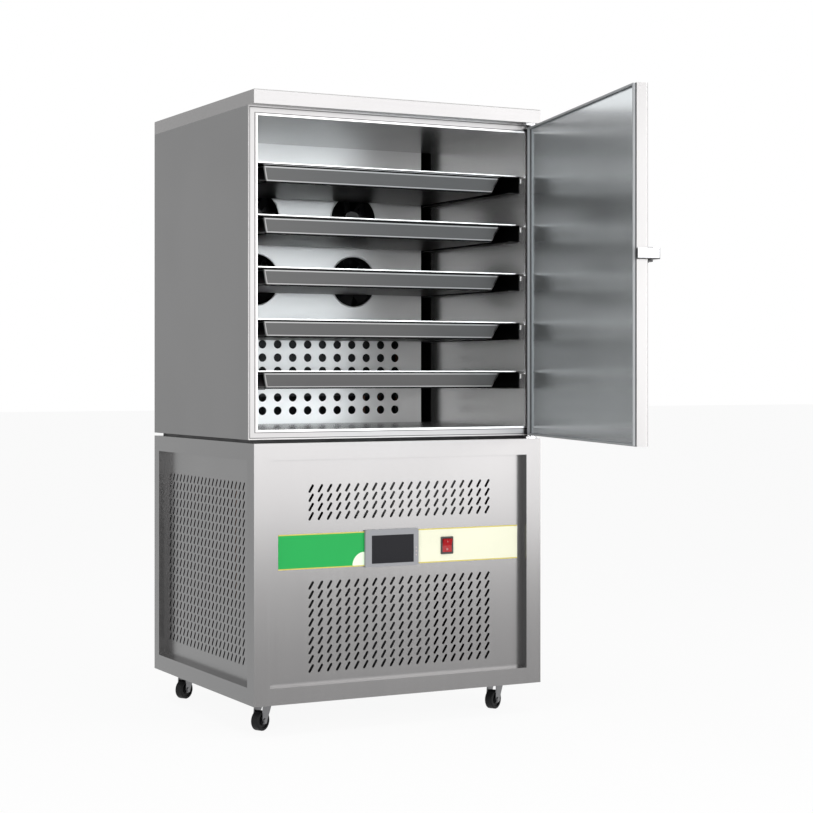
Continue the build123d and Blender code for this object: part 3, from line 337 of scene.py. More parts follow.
class FreezerColours(bpy.types.PropertyGroup):
    """Colours of the freezer's finishes."""

    cabinet: bpy.props.FloatVectorProperty(
        name="Cabinet steel", description="Brushed sheet of the cabinet and base", subtype="COLOR",
        size=3, min=0, max=1, default=(0.212, 0.212, 0.213))
    # Painted light: the front steel is the cabinet's steel made a little lighter for the front faces.
    front: bpy.props.FloatVectorProperty(
        name="Front steel", description="Brighter brushed sheet of the frames and the front", subtype="COLOR",
        size=3, min=0, max=1, default=(0.227, 0.223, 0.223))
    liner: bpy.props.FloatVectorProperty(
        name="Chamber steel", description="Satin sheet inside the chamber", subtype="COLOR",
        size=3, min=0, max=1, default=(0.62, 0.62, 0.62))
    door_panel: bpy.props.FloatVectorProperty(
        name="Door panel steel", description="Satin inner panel of the door", subtype="COLOR",
        size=3, min=0, max=1, default=(0.74, 0.78, 0.80))
    tray: bpy.props.FloatVectorProperty(
        name="Tray steel", description="Pressed sheet of the trays", subtype="COLOR",
        size=3, min=0, max=1, default=(0.175, 0.175, 0.175))
    green: bpy.props.FloatVectorProperty(
        name="Green film", description="Left part of the control strip", subtype="COLOR",
        size=3, min=0, max=1, default=(0.009, 0.37, 0.075))
    cream: bpy.props.FloatVectorProperty(
        name="Cream film", description="Right part of the control strip", subtype="COLOR",
        size=3, min=0, max=1, default=(0.80, 0.80, 0.63))
    edge_line: bpy.props.FloatVectorProperty(
        name="Edge line", description="Thin line along the strip's top and bottom", subtype="COLOR",
        size=3, min=0, max=1, default=(0.62, 0.52, 0.10))
    red: bpy.props.FloatVectorProperty(
        name="Rocker red", description="Translucent red of the switch rocker", subtype="COLOR",
        size=3, min=0, max=1, default=(0.36, 0.004, 0.008))


class FreezerSizes(bpy.types.PropertyGroup):
    """Sizes of the small pieces that the scene adds."""

    # The bright part of the runners' front is a painted highlight.
    hook: bpy.props.FloatProperty(
        name="Bright hook", description="Length of the bright part at the runners' front", unit="LENGTH",
        default=0.0215)
    collar_width: bpy.props.FloatProperty(
        name="Fan collar", description="Width of the rolled collar round each fan hole", unit="LENGTH",
        default=0.0028)
    fin_pitch: bpy.props.FloatProperty(
        name="Fin pitch", description="Distance between two coil fins", unit="LENGTH", default=0.004)
    fin_thickness: bpy.props.FloatProperty(
        name="Fin thickness", description="Thickness of a coil fin", unit="LENGTH", default=0.0007)
    pleat_pitch: bpy.props.FloatProperty(
        name="Filter pleat", description="Distance between two pleats of a dust filter", unit="LENGTH",
        default=0.0085)
    return_bend: bpy.props.FloatProperty(
        name="Return bend", description="Radius of the coil's return bends", unit="LENGTH", default=0.0125)
    edge_line: bpy.props.FloatProperty(
        name="Edge line", description="Height of the line along the control strip", unit="LENGTH",
        default=0.0022)
    corner_disc: bpy.props.FloatProperty(
        name="Corner disc", description="Radius of the pale quarter disc on the green film", unit="LENGTH",
        default=0.0265)


class FreezerStudio(bpy.types.PropertyGroup):
    """Light and background."""

    key: bpy.props.FloatProperty(
        name="Key light", description="Power of the soft box at the front right, in watts", default=40.0)
    fill: bpy.props.FloatProperty(
        name="Fill light", description="Power of the soft box at the front left, in watts", default=40.0)
    top: bpy.props.FloatProperty(
        name="Top light", description="Power of the soft box overhead, in watts", default=35.0)
    room: bpy.props.FloatProperty(
        name="Room light", description="Brightness of the even light from all round", default=0.40)
    backdrop: bpy.props.FloatProperty(
        name="Backdrop", description="Brightness of the background, where 1 is white", default=1.0)


# Cabinet and base


class FREEZER_OT_cabinet(bpy.types.Operator):
    """Brushed steel on the skin, door, top cap, chamber's frame, base frame and slotted panels."""

    bl_idname = "freezer.cabinet"
    bl_label = "Cabinet and base steel"

    def frame_steel(self, colour):
        """Frame round the chamber's mouth: painted highlight on the bead and the outer rim, painted shade in
        a dark line beside the bead and along the outer fold.
        """
        made = brushed("frame_steel", colour, 0.3, spread=0.03, relief=0.004, wear=0.02)
        low, high = box_of("front_frame")
        inner_low, inner_high = box_of("liner")
        x, z = made.math("ABSOLUTE", made.axis(RIGHT)), made.axis(UP)
        middle = (low.z + high.z) / 2
        out_x = made.math("SUBTRACT", x, high.x)
        out_z = made.math("SUBTRACT", made.math("ABSOLUTE", made.math("SUBTRACT", z, middle)),
                          high.z - middle)
        out = made.math("MAXIMUM", out_x, out_z)
        fold_shade = made.band(out, -0.0040, -0.0024, 0.0005)
        mouth_x = made.math("SUBTRACT", x, inner_high.x)
        mouth_middle = (inner_low.z + inner_high.z) / 2
        mouth_z = made.math("SUBTRACT", made.math("ABSOLUTE", made.math("SUBTRACT", z, mouth_middle)),
                            inner_high.z - mouth_middle)
        mouth = made.math("MAXIMUM", mouth_x, mouth_z)
        groove_shade = made.band(mouth, 0.0034, 0.0050, 0.0005)
        bead_highlight = made.ramp(mouth, 0.0030, 0.0036, 1.0, 0.0)
        rim = made.ramp(out, -0.0024, -0.0018)
        # Painted light: the bead and the outer rim are lightened as painted highlight, the line beside the
        # bead and the outer fold darkened as painted shade.
        recolour(made, (bead_highlight, tint(colour, 2.2)), (groove_shade, tint(colour, 0.25)),
                 (rim, tint(colour, 1.2)), (fold_shade, tint(colour, 0.25)))
        return made

    def base_steel(self, colour, side_shade_colour):
        """Brushed posts and rails, whose sides are darkened to the tone of the side sheets as painted shade.
        """
        made = brushed("base_steel", colour, 0.25, spread=0.04, relief=0.005, wear=0.02)
        side = made.ramp(made.math("ABSOLUTE", made.facing(RIGHT)), 0.6, 0.9)
        # Painted shade: faces that look sideways get the darker side tone.
        recolour(made, (side, side_shade_colour))
        return made

    def slotted_steel(self, name, colour, which):
        """Brushed sheet whose inner face and cut edges are painted black as shade, so that the slots read
        black.
        """
        made = brushed(name, colour, 0.25, spread=0.04, relief=0.005, wear=0.02)
        low, high = box_of("base_frame")
        # Painted shade: the inner face and the cut edges are black, in place of the shade inside the slots.
        recolour(made, (made.math("SUBTRACT", 1.0, outward(made, which, (low[which] + high[which]) / 2)),
                        DEEP_SHADE_BLACK))
        return made

    def execute(self, context):
        colours = context.scene.freezer_colours
        front, cabinet = tuple(colours.front), tuple(colours.cabinet)
        give(brushed("cabinet_steel", cabinet, 0.42), "outer_skin")
        # Painted light: the door, top cap and frame are the cabinet's steel, lightened by these tints as
        # painted highlight.
        give(brushed("door_steel", tint(front, 1.42), 0.32, spread=0.04, relief=0.008), "door_skin")
        give(brushed("cap_steel", tint(front, 1.09), 0.25, "along", spread=0.03, relief=0.005), "top_cap")
        give(self.slotted_steel("front_panel_steel", front, BACK), "front_panel")
        give(self.slotted_steel("rear_panel_steel", cabinet, BACK), "rear_panel")
        give(self.slotted_steel("side_panel_steel", cabinet, RIGHT), "left_panel", "right_panel")
        give(self.base_steel(front, tint(cabinet, 0.92)), "base_frame")
        give(self.frame_steel(tint(front, 1.12)), "front_frame")
        return {"FINISHED"}


# Chamber


class FREEZER_OT_chamber(bpy.types.Operator):
    """Satin steel on the liner and fan panel, and a rolled collar round each fan hole."""

    bl_idname = "freezer.chamber"
    bl_label = "Chamber and fan collars"

    def execute(self, context):
        colours, sizes = context.scene.freezer_colours, context.scene.freezer_sizes
        satin = {"grain": "across", "spread": 0.015, "relief": 0.002, "wear": 0.01}
        liner = brushed("liner_steel", tuple(colours.liner), 0.24, metal=0.8, **satin)
        panel_face = box_of("fan_panel")[0].y
        # Painted shade: the liner behind the fan panel is blackened, so that the fan holes read dark.
        recolour(liner, (liner.ramp(liner.axis(BACK), panel_face, panel_face + 0.002), DULL_SHADE_BLACK))
        give(liner, "liner")
        give(brushed("panel_steel", tint(colours.liner, 1.24), 0.3, metal=0.45, **satin), "fan_panel")
        rim = brushed("collar_steel", (0.85, 0.85, 0.85), 0.3, "up", spread=0.03, metal=0.6)
        rotors = [box_of(f"fan_rotor_{k}") for k in (1, 2, 3, 4)]
        centres = [(a + b) / 2 for a, b in rotors]
        across = centres[1].x - centres[0].x
        down = centres[0].z - centres[2].z
        middle = sum(centres, Vector()) / len(centres)
        grow = Growth("fan_collars", Hole=FAN_HOLE, Collar=0.0028, Across=0.24, Down=0.14,
                      Middle=(0.0, 0.0, 0.0), Finish=None)
        g = grow.given
        line = grow.add("GeometryNodeCurvePrimitiveCircle", {"Resolution": 72, "Radius": g["Hole"]})
        section = grow.add("GeometryNodeCurvePrimitiveCircle", {"Resolution": 10, "Radius": g["Collar"]})
        tube = grow.add("GeometryNodeCurveToMesh", {0: line.outputs[0], 1: section.outputs[0]})
        grid = grow.add("GeometryNodeMeshGrid", {
            "Size X": g["Across"], "Size Y": g["Down"], "Vertices X": 2, "Vertices Y": 2})
        set_up = grow.add("GeometryNodeInstanceOnPoints", {
            "Points": grid.outputs[0], "Instance": tube.outputs[0]})
        turned = grow.add("GeometryNodeTransform", {
            "Geometry": set_up.outputs[0], "Translation": g["Middle"], "Rotation": (math.pi / 2, 0, 0)})
        tree = grow.finish(turned.outputs[0])
        values = {"Hole": FAN_HOLE, "Collar": sizes.collar_width / 2, "Across": across, "Down": down,
                  "Middle": (middle.x, panel_face, middle.z), "Finish": rim.material}
        baked("fan_collars", tree, values, "cabinet")
        return {"FINISHED"}


class FREEZER_OT_fans(bpy.types.Operator):
    """Black plastic on the fans and all rotors, and steel on the air probe."""

    bl_idname = "freezer.fans"
    bl_label = "Evaporator fans"

    def execute(self, context):
        give(moulded("fan_frame_black", (0.022, 0.022, 0.023), 0.42), "fan_frames")
        give(moulded("fan_blade_black", (0.03, 0.03, 0.032), 0.32),
             "fan_rotor_1", "fan_rotor_2", "fan_rotor_3", "fan_rotor_4", "condenser_rotor")
        give(brushed("probe_steel", (0.6, 0.6, 0.6), 0.25, "deep"), "air_probe")
        return {"FINISHED"}


# Trays and runners


class FREEZER_OT_trays(bpy.types.Operator):
    """Pressed steel trays with painted highlight on the bends and rim and painted shade on the lip, and
    runners painted dark as shade with a painted highlight on the hook.
    """

    bl_idname = "freezer.trays"
    bl_label = "Trays and runners"

    def tray_steel(self, colour):
        """Pressed sheet: painted highlight along the rim's edge, the wall's bends and the corners, painted
        shade under the lip, along the bottom edge and on the underside near the rim.
        """
        made = brushed("tray_steel", colour, 0.34, "across", spread=0.04, relief=0.004)
        rims = [box_of(f"tray_{k}")[1].z for k in (1, 2)]
        pitch = rims[1] - rims[0]
        low = box_of("tray_1")[0].z - rims[0]
        level = made.math("SUBTRACT", made.axis(UP), rims[0] - pitch / 2)
        depth = made.math("SUBTRACT", made.math("MODULO", level, pitch), pitch / 2)
        upright = made.ramp(made.math("ABSOLUTE", made.facing(UP)), 0.90, 0.94, 1.0, 0.0)
        side = made.math("ABSOLUTE", made.facing(RIGHT))
        corner = made.math("MULTIPLY", made.band(side, 0.22, 0.66, 0.04), upright)
        bends = made.math("MAXIMUM", made.band(depth, -0.0076, -0.0052),
                          made.band(depth, low + 0.0030, low + 0.0050))
        bends = made.math("MULTIPLY", bends, upright)
        edge = made.math("MULTIPLY", made.ramp(depth, -0.0021, -0.0017), upright)
        lip = made.math("MULTIPLY", made.band(depth, -0.0048, -0.0019), upright)
        foot = made.math("MULTIPLY", made.ramp(depth, low + 0.0024, low + 0.0030, 1.0, 0.0), upright)
        below = made.math("MULTIPLY", made.ramp(made.facing(UP), -0.9, -0.95),
                          made.ramp(depth, -0.004, -0.002))
        # Painted light: bends, corners and rim edge lightened as highlight; lip, foot and the underside near
        # the rim blackened as shade.
        recolour(made, (corner, BEND_HIGHLIGHT), (bends, BEND_HIGHLIGHT), (lip, DEEP_SHADE_BLACK), (foot, DEEP_SHADE_BLACK),
                 (below, DEEP_SHADE_BLACK), (edge, EDGE_HIGHLIGHT))
        return made

    def execute(self, context):
        colours, sizes = context.scene.freezer_colours, context.scene.freezer_sizes
        give(self.tray_steel(tuple(colours.tray)), *[f"tray_{k}" for k in range(1, 6)])
        # Painted shade: the runners are dark all over, with a painted highlight on the hook at their front.
        runner = brushed("runner_steel", DULL_SHADE_BLACK, 0.4, "deep", spread=0.1)
        hook = box_of("tray_runners")[0].y + sizes.hook
        recolour(runner, (runner.ramp(runner.axis(BACK), hook - 0.001, hook, 1.0, 0.0), EDGE_HIGHLIGHT))
        give(runner, "tray_runners")
        return {"FINISHED"}


# Coils


def fin_tree():
    """Plates in a row along X, each a thin block between two corners."""
    grow = Growth("coil_fins", Count=60, Pitch=0.004, Plate=(0.0007, 0.04, 0.48), Start=(0.0, 0.0, 0.0),
                  Finish=None)
    g = grow.given
    step = grow.add("ShaderNodeCombineXYZ", {0: g["Pitch"]})
    row = grow.add("GeometryNodeMeshLine", {
        "Count": g["Count"], "Start Location": g["Start"], "Offset": step.outputs[0]})
    plate = grow.add("GeometryNodeMeshCube", {"Size": g["Plate"]})
    fins = grow.add("GeometryNodeInstanceOnPoints", {"Points": row.outputs[0], "Instance": plate.outputs[0]})
    return grow.finish(fins.outputs[0])


def bend_tree():
    """Return bends in a column along Z, each half a ring of tube that opens towards the coil."""
    grow = Growth("return_bends", Count=8, Pitch=0.05, Bend=0.0125, Tube=RETURN_TUBE, Start=(0.0, 0.0, 0.0),
                  Finish=None)
    g = grow.given
    step = grow.add("ShaderNodeCombineXYZ", {2: g["Pitch"]})
    column = grow.add("GeometryNodeMeshLine", {
        "Count": g["Count"], "Start Location": g["Start"], "Offset": step.outputs[0]})
    arc = grow.add("GeometryNodeCurveArc", {
        "Resolution": 13, "Radius": g["Bend"], "Start Angle": -math.pi / 2, "Sweep Angle": math.pi})
    section = grow.add("GeometryNodeCurvePrimitiveCircle", {"Resolution": 10, "Radius": g["Tube"]})
    tube = grow.add("GeometryNodeCurveToMesh", {0: arc.outputs[0], 1: section.outputs[0], "Fill Caps": True})
    bends = grow.add("GeometryNodeInstanceOnPoints", {
        "Points": column.outputs[0], "Instance": tube.outputs[0], "Rotation": (math.pi / 2, 0, 0)})
    return grow.finish(bends.outputs[0])


class FREEZER_OT_coils(bpy.types.Operator):
    """Fins and return bends on the evaporator and condenser coils."""

    bl_idname = "freezer.coils"
    bl_label = "Coil fins and return bends"

    def execute(self, context):
        sizes = context.scene.freezer_sizes
        core = brushed("coil_end_sheet", (0.05, 0.05, 0.052), 0.4, "up")
        give(core, "evaporator_coil", "condenser_coil")
        fin = brushed("fin_black", (0.035, 0.036, 0.038), 0.45, "up", spread=0.1)
        copper = brushed("bend_copper", (0.12, 0.055, 0.035), 0.4, "up", spread=0.1)
        fins, bends = fin_tree(), bend_tree()
        for name, proud_front, proud_back, margin, foot in (
            ("evaporator_coil", 0.0012, 0.0012, 0.006, 0.002),
            ("condenser_coil", 0.0012, 0.0, 0.006, 0.012),
        ):
            low, high = box_of(name)
            run = high.x - low.x - 2 * margin
            count = int(run / sizes.fin_pitch)
            size = (sizes.fin_thickness, high.y - low.y + proud_front + proud_back,
                    high.z - low.z - foot - FIN_HEAD)
            start = (low.x + margin + (run - (count - 1) * sizes.fin_pitch) / 2,
                     (low.y + high.y - proud_front + proud_back) / 2,
                     low.z + foot + size[2] / 2)
            baked(name + "_fins", fins, {"Count": count, "Pitch": sizes.fin_pitch, "Plate": size,
                                         "Start": start, "Finish": fin.material}, "cabinet")
            bend_count = int((high.z - low.z - foot - BEND_MARGIN) / (4 * sizes.return_bend))
            height = (bend_count - 1) * 4 * sizes.return_bend
            start = (high.x, (low.y + high.y) / 2, (low.z + foot + high.z - height) / 2)
            baked(name + "_bends", bends, {"Count": bend_count, "Pitch": 4 * sizes.return_bend,
                                           "Bend": sizes.return_bend, "Tube": RETURN_TUBE, "Start": start,
                                           "Finish": copper.material}, "cabinet")
        return {"FINISHED"}


# Door and latch


class FREEZER_OT_door(bpy.types.Operator):
    """Satin inner panel, grey gasket, foam, bushes, hinges and latch of the door."""

    bl_idname = "freezer.door"
    bl_label = "Door, gasket and hinges"

    def gasket(self, colour):
        """Grey sealing strip, darkened at its root along the door's inner face as painted shade."""
        made = moulded("gasket_grey", colour, 0.6, 900)
        hinge = next(joint for joint in frame["joints"] if joint["name"] == "door_hinge")
        swing = math.radians(-hinge["range_deg"][0])
        out = Vector((-math.sin(swing), math.cos(swing), 0))
        at = made.math("ADD", made.math("MULTIPLY", made.axis(RIGHT), out.x),
                       made.math("MULTIPLY", made.axis(BACK), out.y))
        root = out.dot(Vector(hinge["pos_m"])) + DOOR_FACE
        # Painted shade: the strip's root is darkened where it meets the door.
        made.set(Base_Color=made.blend(made.ramp(at, root + 0.0020, root + 0.0026, 1.0, 0.0), colour,
                                       (0.035, 0.036, 0.038)))
        return made

    def execute(self, context):
        colours = context.scene.freezer_colours
        panel = brushed("door_panel_steel", tint(colours.door_panel, 1.1), 0.2, "across", spread=0.02,
                        relief=0.003, cloud=0.1, metal=0.88, wear=0.01)
        give(panel, "door_inner_panel")
        give(self.gasket((0.30, 0.31, 0.32)), "door_gasket")
        foam = Finish("panel_foam", Roughness=0.9)
        cells = foam.add("ShaderNodeTexVoronoi", {"Vector": foam.place((900, 900, 900)), "Scale": 1.0})
        foam.set(Base_Color=foam.blend(cells.outputs[0], (0.80, 0.72, 0.50), (0.92, 0.86, 0.66)))
        foam.relief(cells.outputs[0], 0.4, 0.0006)
        give(foam, "door_foam", "insulation")
        give(moulded("bush_grey", (0.2, 0.2, 0.21), 0.45), "door_hinge_bushes")
        bright = brushed("hinge_steel", (0.50, 0.50, 0.51), 0.24, "across", spread=0.05)
        give(bright, "hinge_top", "hinge_bottom", "panel_screws")
        lever = brushed("lever_steel", (0.36, 0.36, 0.37), 0.24, "across", spread=0.04)
        # Painted shade: the lever's lower edge is darkened as a shade line.
        foot = box_of("latch_lever")[0].z
        edge = lever.ramp(lever.axis(UP), foot + 0.0016, foot + 0.0022, 1.0, 0.0)
        recolour(lever, (edge, (0.03, 0.03, 0.03)))
        give(lever, "latch_lever")
        # Painted shade: the latch base is made dark grey so that its ears and the gap beside the lever read
        # as shade.
        give(brushed("latch_base_steel", (0.06, 0.06, 0.062), 0.3, "up", spread=0.06), "latch_base")
        return {"FINISHED"}


# Control strip


class FREEZER_OT_strip(bpy.types.Operator):
    """Films with their edge lines, the display, the rocker switch and the cable gland."""

    bl_idname = "freezer.strip"
    bl_label = "Control strip"

    def film(self, name, colour, line_height, node):
        """A printed film: even colour, its part between the edge lines, light orange peel in the gloss."""
        low, high = box_of(node)
        made = Finish(name, Specular_IOR_Level=0.2)
        peel = made.noise((500, 500, 500), 2.0)
        inner = made.band(made.axis(UP), low.z + line_height, high.z - line_height, 0.0003)
        tone = made.noise((12, 12, 12), 2.0)
        base = made.blend(tone, tint(colour, 0.97), tint(colour, 1.03))
        made.set(Roughness=made.ramp(peel, 0.3, 0.7, 0.34, 0.42, smooth=False))
        made.relief(peel, 0.03, 0.0002)
        return made, inner, base

    def execute(self, context):
        colours, sizes = context.scene.freezer_colours, context.scene.freezer_sizes
        line = tuple(colours.edge_line)
        green, inner, base = self.film("green_film", tuple(colours.green), sizes.edge_line, "overlay_green")
        low, high = box_of("overlay_green")
        corner = Vector((high.x, 0, low.z + sizes.edge_line))
        dx = green.math("SUBTRACT", green.axis(RIGHT), corner.x)
        dz = green.math("SUBTRACT", green.axis(UP), corner.z)
        squares = green.math("ADD", green.math("MULTIPLY", dx, dx), green.math("MULTIPLY", dz, dz))
        reach = green.math("SQRT", squares)
        disc = green.ramp(reach, sizes.corner_disc - 0.0004, sizes.corner_disc + 0.0004, 1.0, 0.0)
        base = green.blend(disc, base, (0.80, 0.94, 0.72))
        green.set(Base_Color=green.blend(inner, line, base))
        give(green, "overlay_green")
        cream, inner, base = self.film("cream_film", tuple(colours.cream), sizes.edge_line, "overlay_cream")
        cream.set(Base_Color=cream.blend(inner, line, base))
        give(cream, "overlay_cream")
        give(moulded("bezel_grey", (0.262, 0.266, 0.282), 0.45), "display_bezel")
        glass = Finish("screen_glass", Specular_IOR_Level=0.12)
        smear = glass.noise((9, 9, 9), 1.0)
        glass.set(
            Base_Color=glass.blend(smear, (0.009, 0.009, 0.012), (0.012, 0.012, 0.015)),
            Roughness=glass.ramp(smear, 0.3, 0.7, 0.30, 0.36),
        )
        give(glass, "display_screen")
        give(moulded("switch_black", (0.02, 0.016, 0.016), 0.4), "switch_bezel")
        red = Finish("rocker_red", Specular_IOR_Level=0.2)
        tone = red.noise((140, 140, 140), 2.0)
        red.set(
            Base_Color=red.blend(tone, tint(colours.red, 0.8), tint(colours.red, 1.15)),
            Roughness=red.ramp(tone, 0.3, 0.7, 0.2, 0.3),
        )
        give(red, "rocker")
        give(moulded("gland_black", (0.02, 0.02, 0.02), 0.5), "cable_gland")
        return {"FINISHED"}


class FREEZER_OT_marks(bpy.types.Operator):
    """On and off marks on the rocker, and three indicator dots on the display's housing."""

    bl_idname = "freezer.marks"
    bl_label = "Switch marks and indicators"

    def on_face(self, node, x, z):
        """Turns a shape drawn in XY, with its front up, onto the node's front face at x and z."""
        before = box_of(node)[0].y - 0.01
        hit, place, normal, _ = NODES[node].ray_cast((x, before, z), (0, 1, 0))
        if not hit:
            raise RuntimeError(f"nothing of {node} lies behind x {x:.4f}, z {z:.4f}")
        across = Vector((1, 0, 0))
        up = normal.cross(across).normalized()
        turn = Matrix((across, up, normal)).transposed().to_4x4()
        return Matrix.Translation(place) @ turn

    def execute(self, context):
        white = moulded("mark_white", (0.62, 0.50, 0.48), 0.4)
        low, high = box_of("rocker")
        x, height = (low.x + high.x) / 2, high.z - low.z
        bar_at = self.on_face("rocker", x, high.z - 0.22 * height)
        round_at = self.on_face("rocker", x, low.z + 0.22 * height)

        def marks(bm):
            bar = bar_at @ Matrix.Diagonal((0.0008, 0.0034, 0.0005, 1))
            made = bmesh.ops.create_cube(bm, size=1.0, matrix=bar)
            edges = list({edge for vert in made["verts"] for edge in vert.link_edges})
            bmesh.ops.bevel(bm, geom=edges, offset=0.00012, segments=1, affect="EDGES")
            profile = [(0.0019, -0.0002), (0.0019, 0.00022), (0.0013, 0.00022), (0.0013, -0.0002)]
            ring(bm, round_at.translation, round_at.to_3x3(), profile, 24)

        piece("rocker_marks", bm_mesh("rocker_marks", marks), "switch_rocker", white)
        bezel_high = box_of("display_bezel")[1]
        screen_low, screen_high = box_of("display_screen")
        dot_x, dot_z = (screen_high.x + bezel_high.x) / 2, (screen_low.z + screen_high.z) / 2 - 0.014
        dots_at = [self.on_face("display_bezel", dot_x, dot_z + 0.0075 * k) for k in range(3)]

        def dots(bm):
            for at in dots_at:
                profile = [(0.0012, -0.0002), (0.0011, 0.0004), (0.0004, 0.0006), (0.0004, -0.0002)]
                ring(bm, at.translation, at.to_3x3(), profile, 16)

        piece("indicator_dots", bm_mesh("indicator_dots", dots), "cabinet", white)
        return {"FINISHED"}


# Machine compartment


class FREEZER_OT_machine(bpy.types.Operator):
    """Finishes of the machine compartment, its floor, the drain and the spacer frame."""

    bl_idname = "freezer.machine"
    bl_label = "Machine compartment"

    def execute(self, context):
        paint = moulded("machine_black", (0.022, 0.022, 0.024), 0.32, 700, 0.2)
        paint.set(Coat_Weight=0.3, Coat_Roughness=0.2)
        give(paint, "compressor", "receiver", "condenser_shroud", "control_box")
        zinc = Finish("galvanised_sheet", Metallic=0.9)
        flake = zinc.add("ShaderNodeTexVoronoi", {"Vector": zinc.place((90, 90, 90)), "Scale": 1.0})
        tone = zinc.add("ShaderNodeSeparateColor", {0: flake.outputs["Color"]}).outputs[0]
        zinc.set(
            Base_Color=zinc.blend(tone, (0.20, 0.205, 0.21), (0.30, 0.305, 0.315)),
            Roughness=zinc.ramp(tone, 0.0, 1.0, 0.38, 0.52, smooth=False),
        )
        zinc.relief(flake.outputs[0], 0.06, 0.0004)
        give(zinc, "base_floor")
        give(brushed("tube_copper", (0.14, 0.07, 0.045), 0.35, "up", spread=0.1), "refrigerant_pipes")
        give(moulded("drain_white", (0.72, 0.72, 0.70), 0.5), "drain")
        give(moulded("spacer_black", (0.016, 0.016, 0.017), 0.55), "spacer_frame")
        return {"FINISHED"}


def pleat_tree():
    """Flat diamond bars in a column along Z, which stand as the pleats of a filter."""
    grow = Growth("filter_pleats", Count=40, Pitch=0.0085, Width=0.0045, Length=0.4, Flat=(0.36, 1.0, 1.0),
                  Turn=(0.0, 0.0, 0.0), Place=(0.0, 0.0, 0.0), Finish=None)
    g = grow.given
    step = grow.add("ShaderNodeCombineXYZ", {2: g["Pitch"]})
    column = grow.add("GeometryNodeMeshLine", {"Count": g["Count"], "Offset": step.outputs[0]})
    bar = grow.add("GeometryNodeMeshCylinder", {"Vertices": 4, "Radius": g["Width"], "Depth": g["Length"]})
    laid = grow.add("GeometryNodeTransform", {"Geometry": bar.outputs[0], "Rotation": (math.pi / 2, 0, 0)})
    flat = grow.add("GeometryNodeTransform", {"Geometry": laid.outputs[0], "Scale": g["Flat"]})
    pleats = grow.add("GeometryNodeInstanceOnPoints", {
        "Points": column.outputs[0], "Instance": flat.outputs[0]})
    set_up = grow.add("GeometryNodeTransform", {
        "Geometry": pleats.outputs[0], "Translation": g["Place"], "Rotation": g["Turn"]})
    return grow.finish(set_up.outputs[0])


class FREEZER_OT_filters(bpy.types.Operator):
    """Black pleated dust filters behind the slots of the right and rear panels."""

    bl_idname = "freezer.filters"
    bl_label = "Dust filters"

    def execute(self, context):
        pitch = context.scene.freezer_sizes.pleat_pitch
        black = moulded("filter_black", (0.010, 0.010, 0.010), 0.85, 900)
        black.set(Specular_IOR_Level=0.1)
        tree = pleat_tree()
        side, rear = box_of("right_panel")[0], box_of("rear_panel")[0]
        for name, turn, place, length, rise in (
            ("right_filter", 0.0, (side.x - FILTER_GAP, 0.010, 0.060), 0.43, 0.385),
            ("rear_filter", math.pi / 2, (-0.010, rear.y - FILTER_GAP, 0.240), 0.45, 0.205),
        ):
            baked(name, tree, {"Count": int(rise / pitch), "Pitch": pitch, "Length": length,
                               "Turn": (0.0, 0.0, turn), "Place": place, "Finish": black.material},
                  "cabinet")
        return {"FINISHED"}


# Casters


class FREEZER_OT_casters(bpy.types.Operator):
    """Zinc forks and plates, black wheels."""

    bl_idname = "freezer.casters"
    bl_label = "Casters"

    def execute(self, context):
        zinc = brushed("caster_zinc", (0.20, 0.20, 0.205), 0.34, "up", spread=0.12)
        give(zinc, *[f"caster_fork_{k}" for k in (1, 2, 3, 4)])
        give(brushed("plate_zinc", (0.34, 0.34, 0.35), 0.34, "along", spread=0.1), "caster_plates")
        wheel = moulded("wheel_black", (0.005, 0.005, 0.0055), 0.5, 800, 0.25)
        wheel.set(Specular_IOR_Level=0.2)
        give(wheel, *[f"caster_wheel_{k}" for k in (1, 2, 3, 4)])
        return {"FINISHED"}


# Studio


def world_light(context, room, backdrop):
    """Even room light; the background, and what metal and glass show of it, is the backdrop's white."""
    world = bpy.data.worlds.new("studio")
    context.scene.world = world
    world.use_nodes = True
    tree = world.node_tree
    tree.nodes.clear()
    path = new_node(tree, "ShaderNodeLightPath").outputs
    shiny = new_node(tree, "ShaderNodeMath", {
        0: path["Is Glossy Ray"], 1: path["Is Transmission Ray"]}, operation="MAXIMUM").outputs[0]
    seen = new_node(tree, "ShaderNodeMath", {
        0: path["Is Camera Ray"], 1: shiny}, operation="MAXIMUM").outputs[0]
    strength = new_node(tree, "ShaderNodeMapRange", {0: seen, 3: room, 4: backdrop}).outputs[0]
    light = new_node(tree, "ShaderNodeBackground", {0: (1.0, 1.0, 1.0, 1.0), 1: strength}).outputs[0]
    new_node(tree, "ShaderNodeOutputWorld", {0: light})


def soft_box(name, place, aim, size, power):
    """A rectangular lamp that lights but isn't seen itself."""
    data = bpy.data.lights.new(name, "AREA")
    data.shape, data.size, data.size_y, data.energy = "RECTANGLE", size[0], size[1], power
    lamp = bpy.data.objects.new(name, data)
    bpy.context.scene.collection.objects.link(lamp)
    lamp.location = place
    lamp.rotation_euler = (Vector(aim) - Vector(place)).to_track_quat("-Z", "Y").to_euler()
    lamp.visible_camera = False


def floor_finish(backdrop):
    """Pale matt floor that keeps a faint shadow and otherwise looks as the backdrop does."""
    made = Finish("studio_floor", Roughness=0.9)
    speck = made.noise((40, 40, 40), 2.0)
    made.set(Base_Color=made.blend(speck, (0.89, 0.89, 0.89), (0.92, 0.92, 0.92)))
    path = made.add("ShaderNodeLightPath")
    seen = made.math("MAXIMUM", path.outputs["Is Camera Ray"], path.outputs["Is Glossy Ray"])
    seen = made.math("MAXIMUM", seen, path.outputs["Is Transmission Ray"])
    glow = made.add("ShaderNodeEmission", {"Strength": backdrop})
    share = made.math("MULTIPLY", seen, FLOOR_GLOW)
    mixed = made.add("ShaderNodeMixShader", {0: share, 1: made.shader.outputs[0], 2: glow.outputs[0]})
    out = next(n for n in made.tree.nodes if n.type == "OUTPUT_MATERIAL")
    made.tree.links.new(mixed.outputs[0], out.inputs[0])
    return made


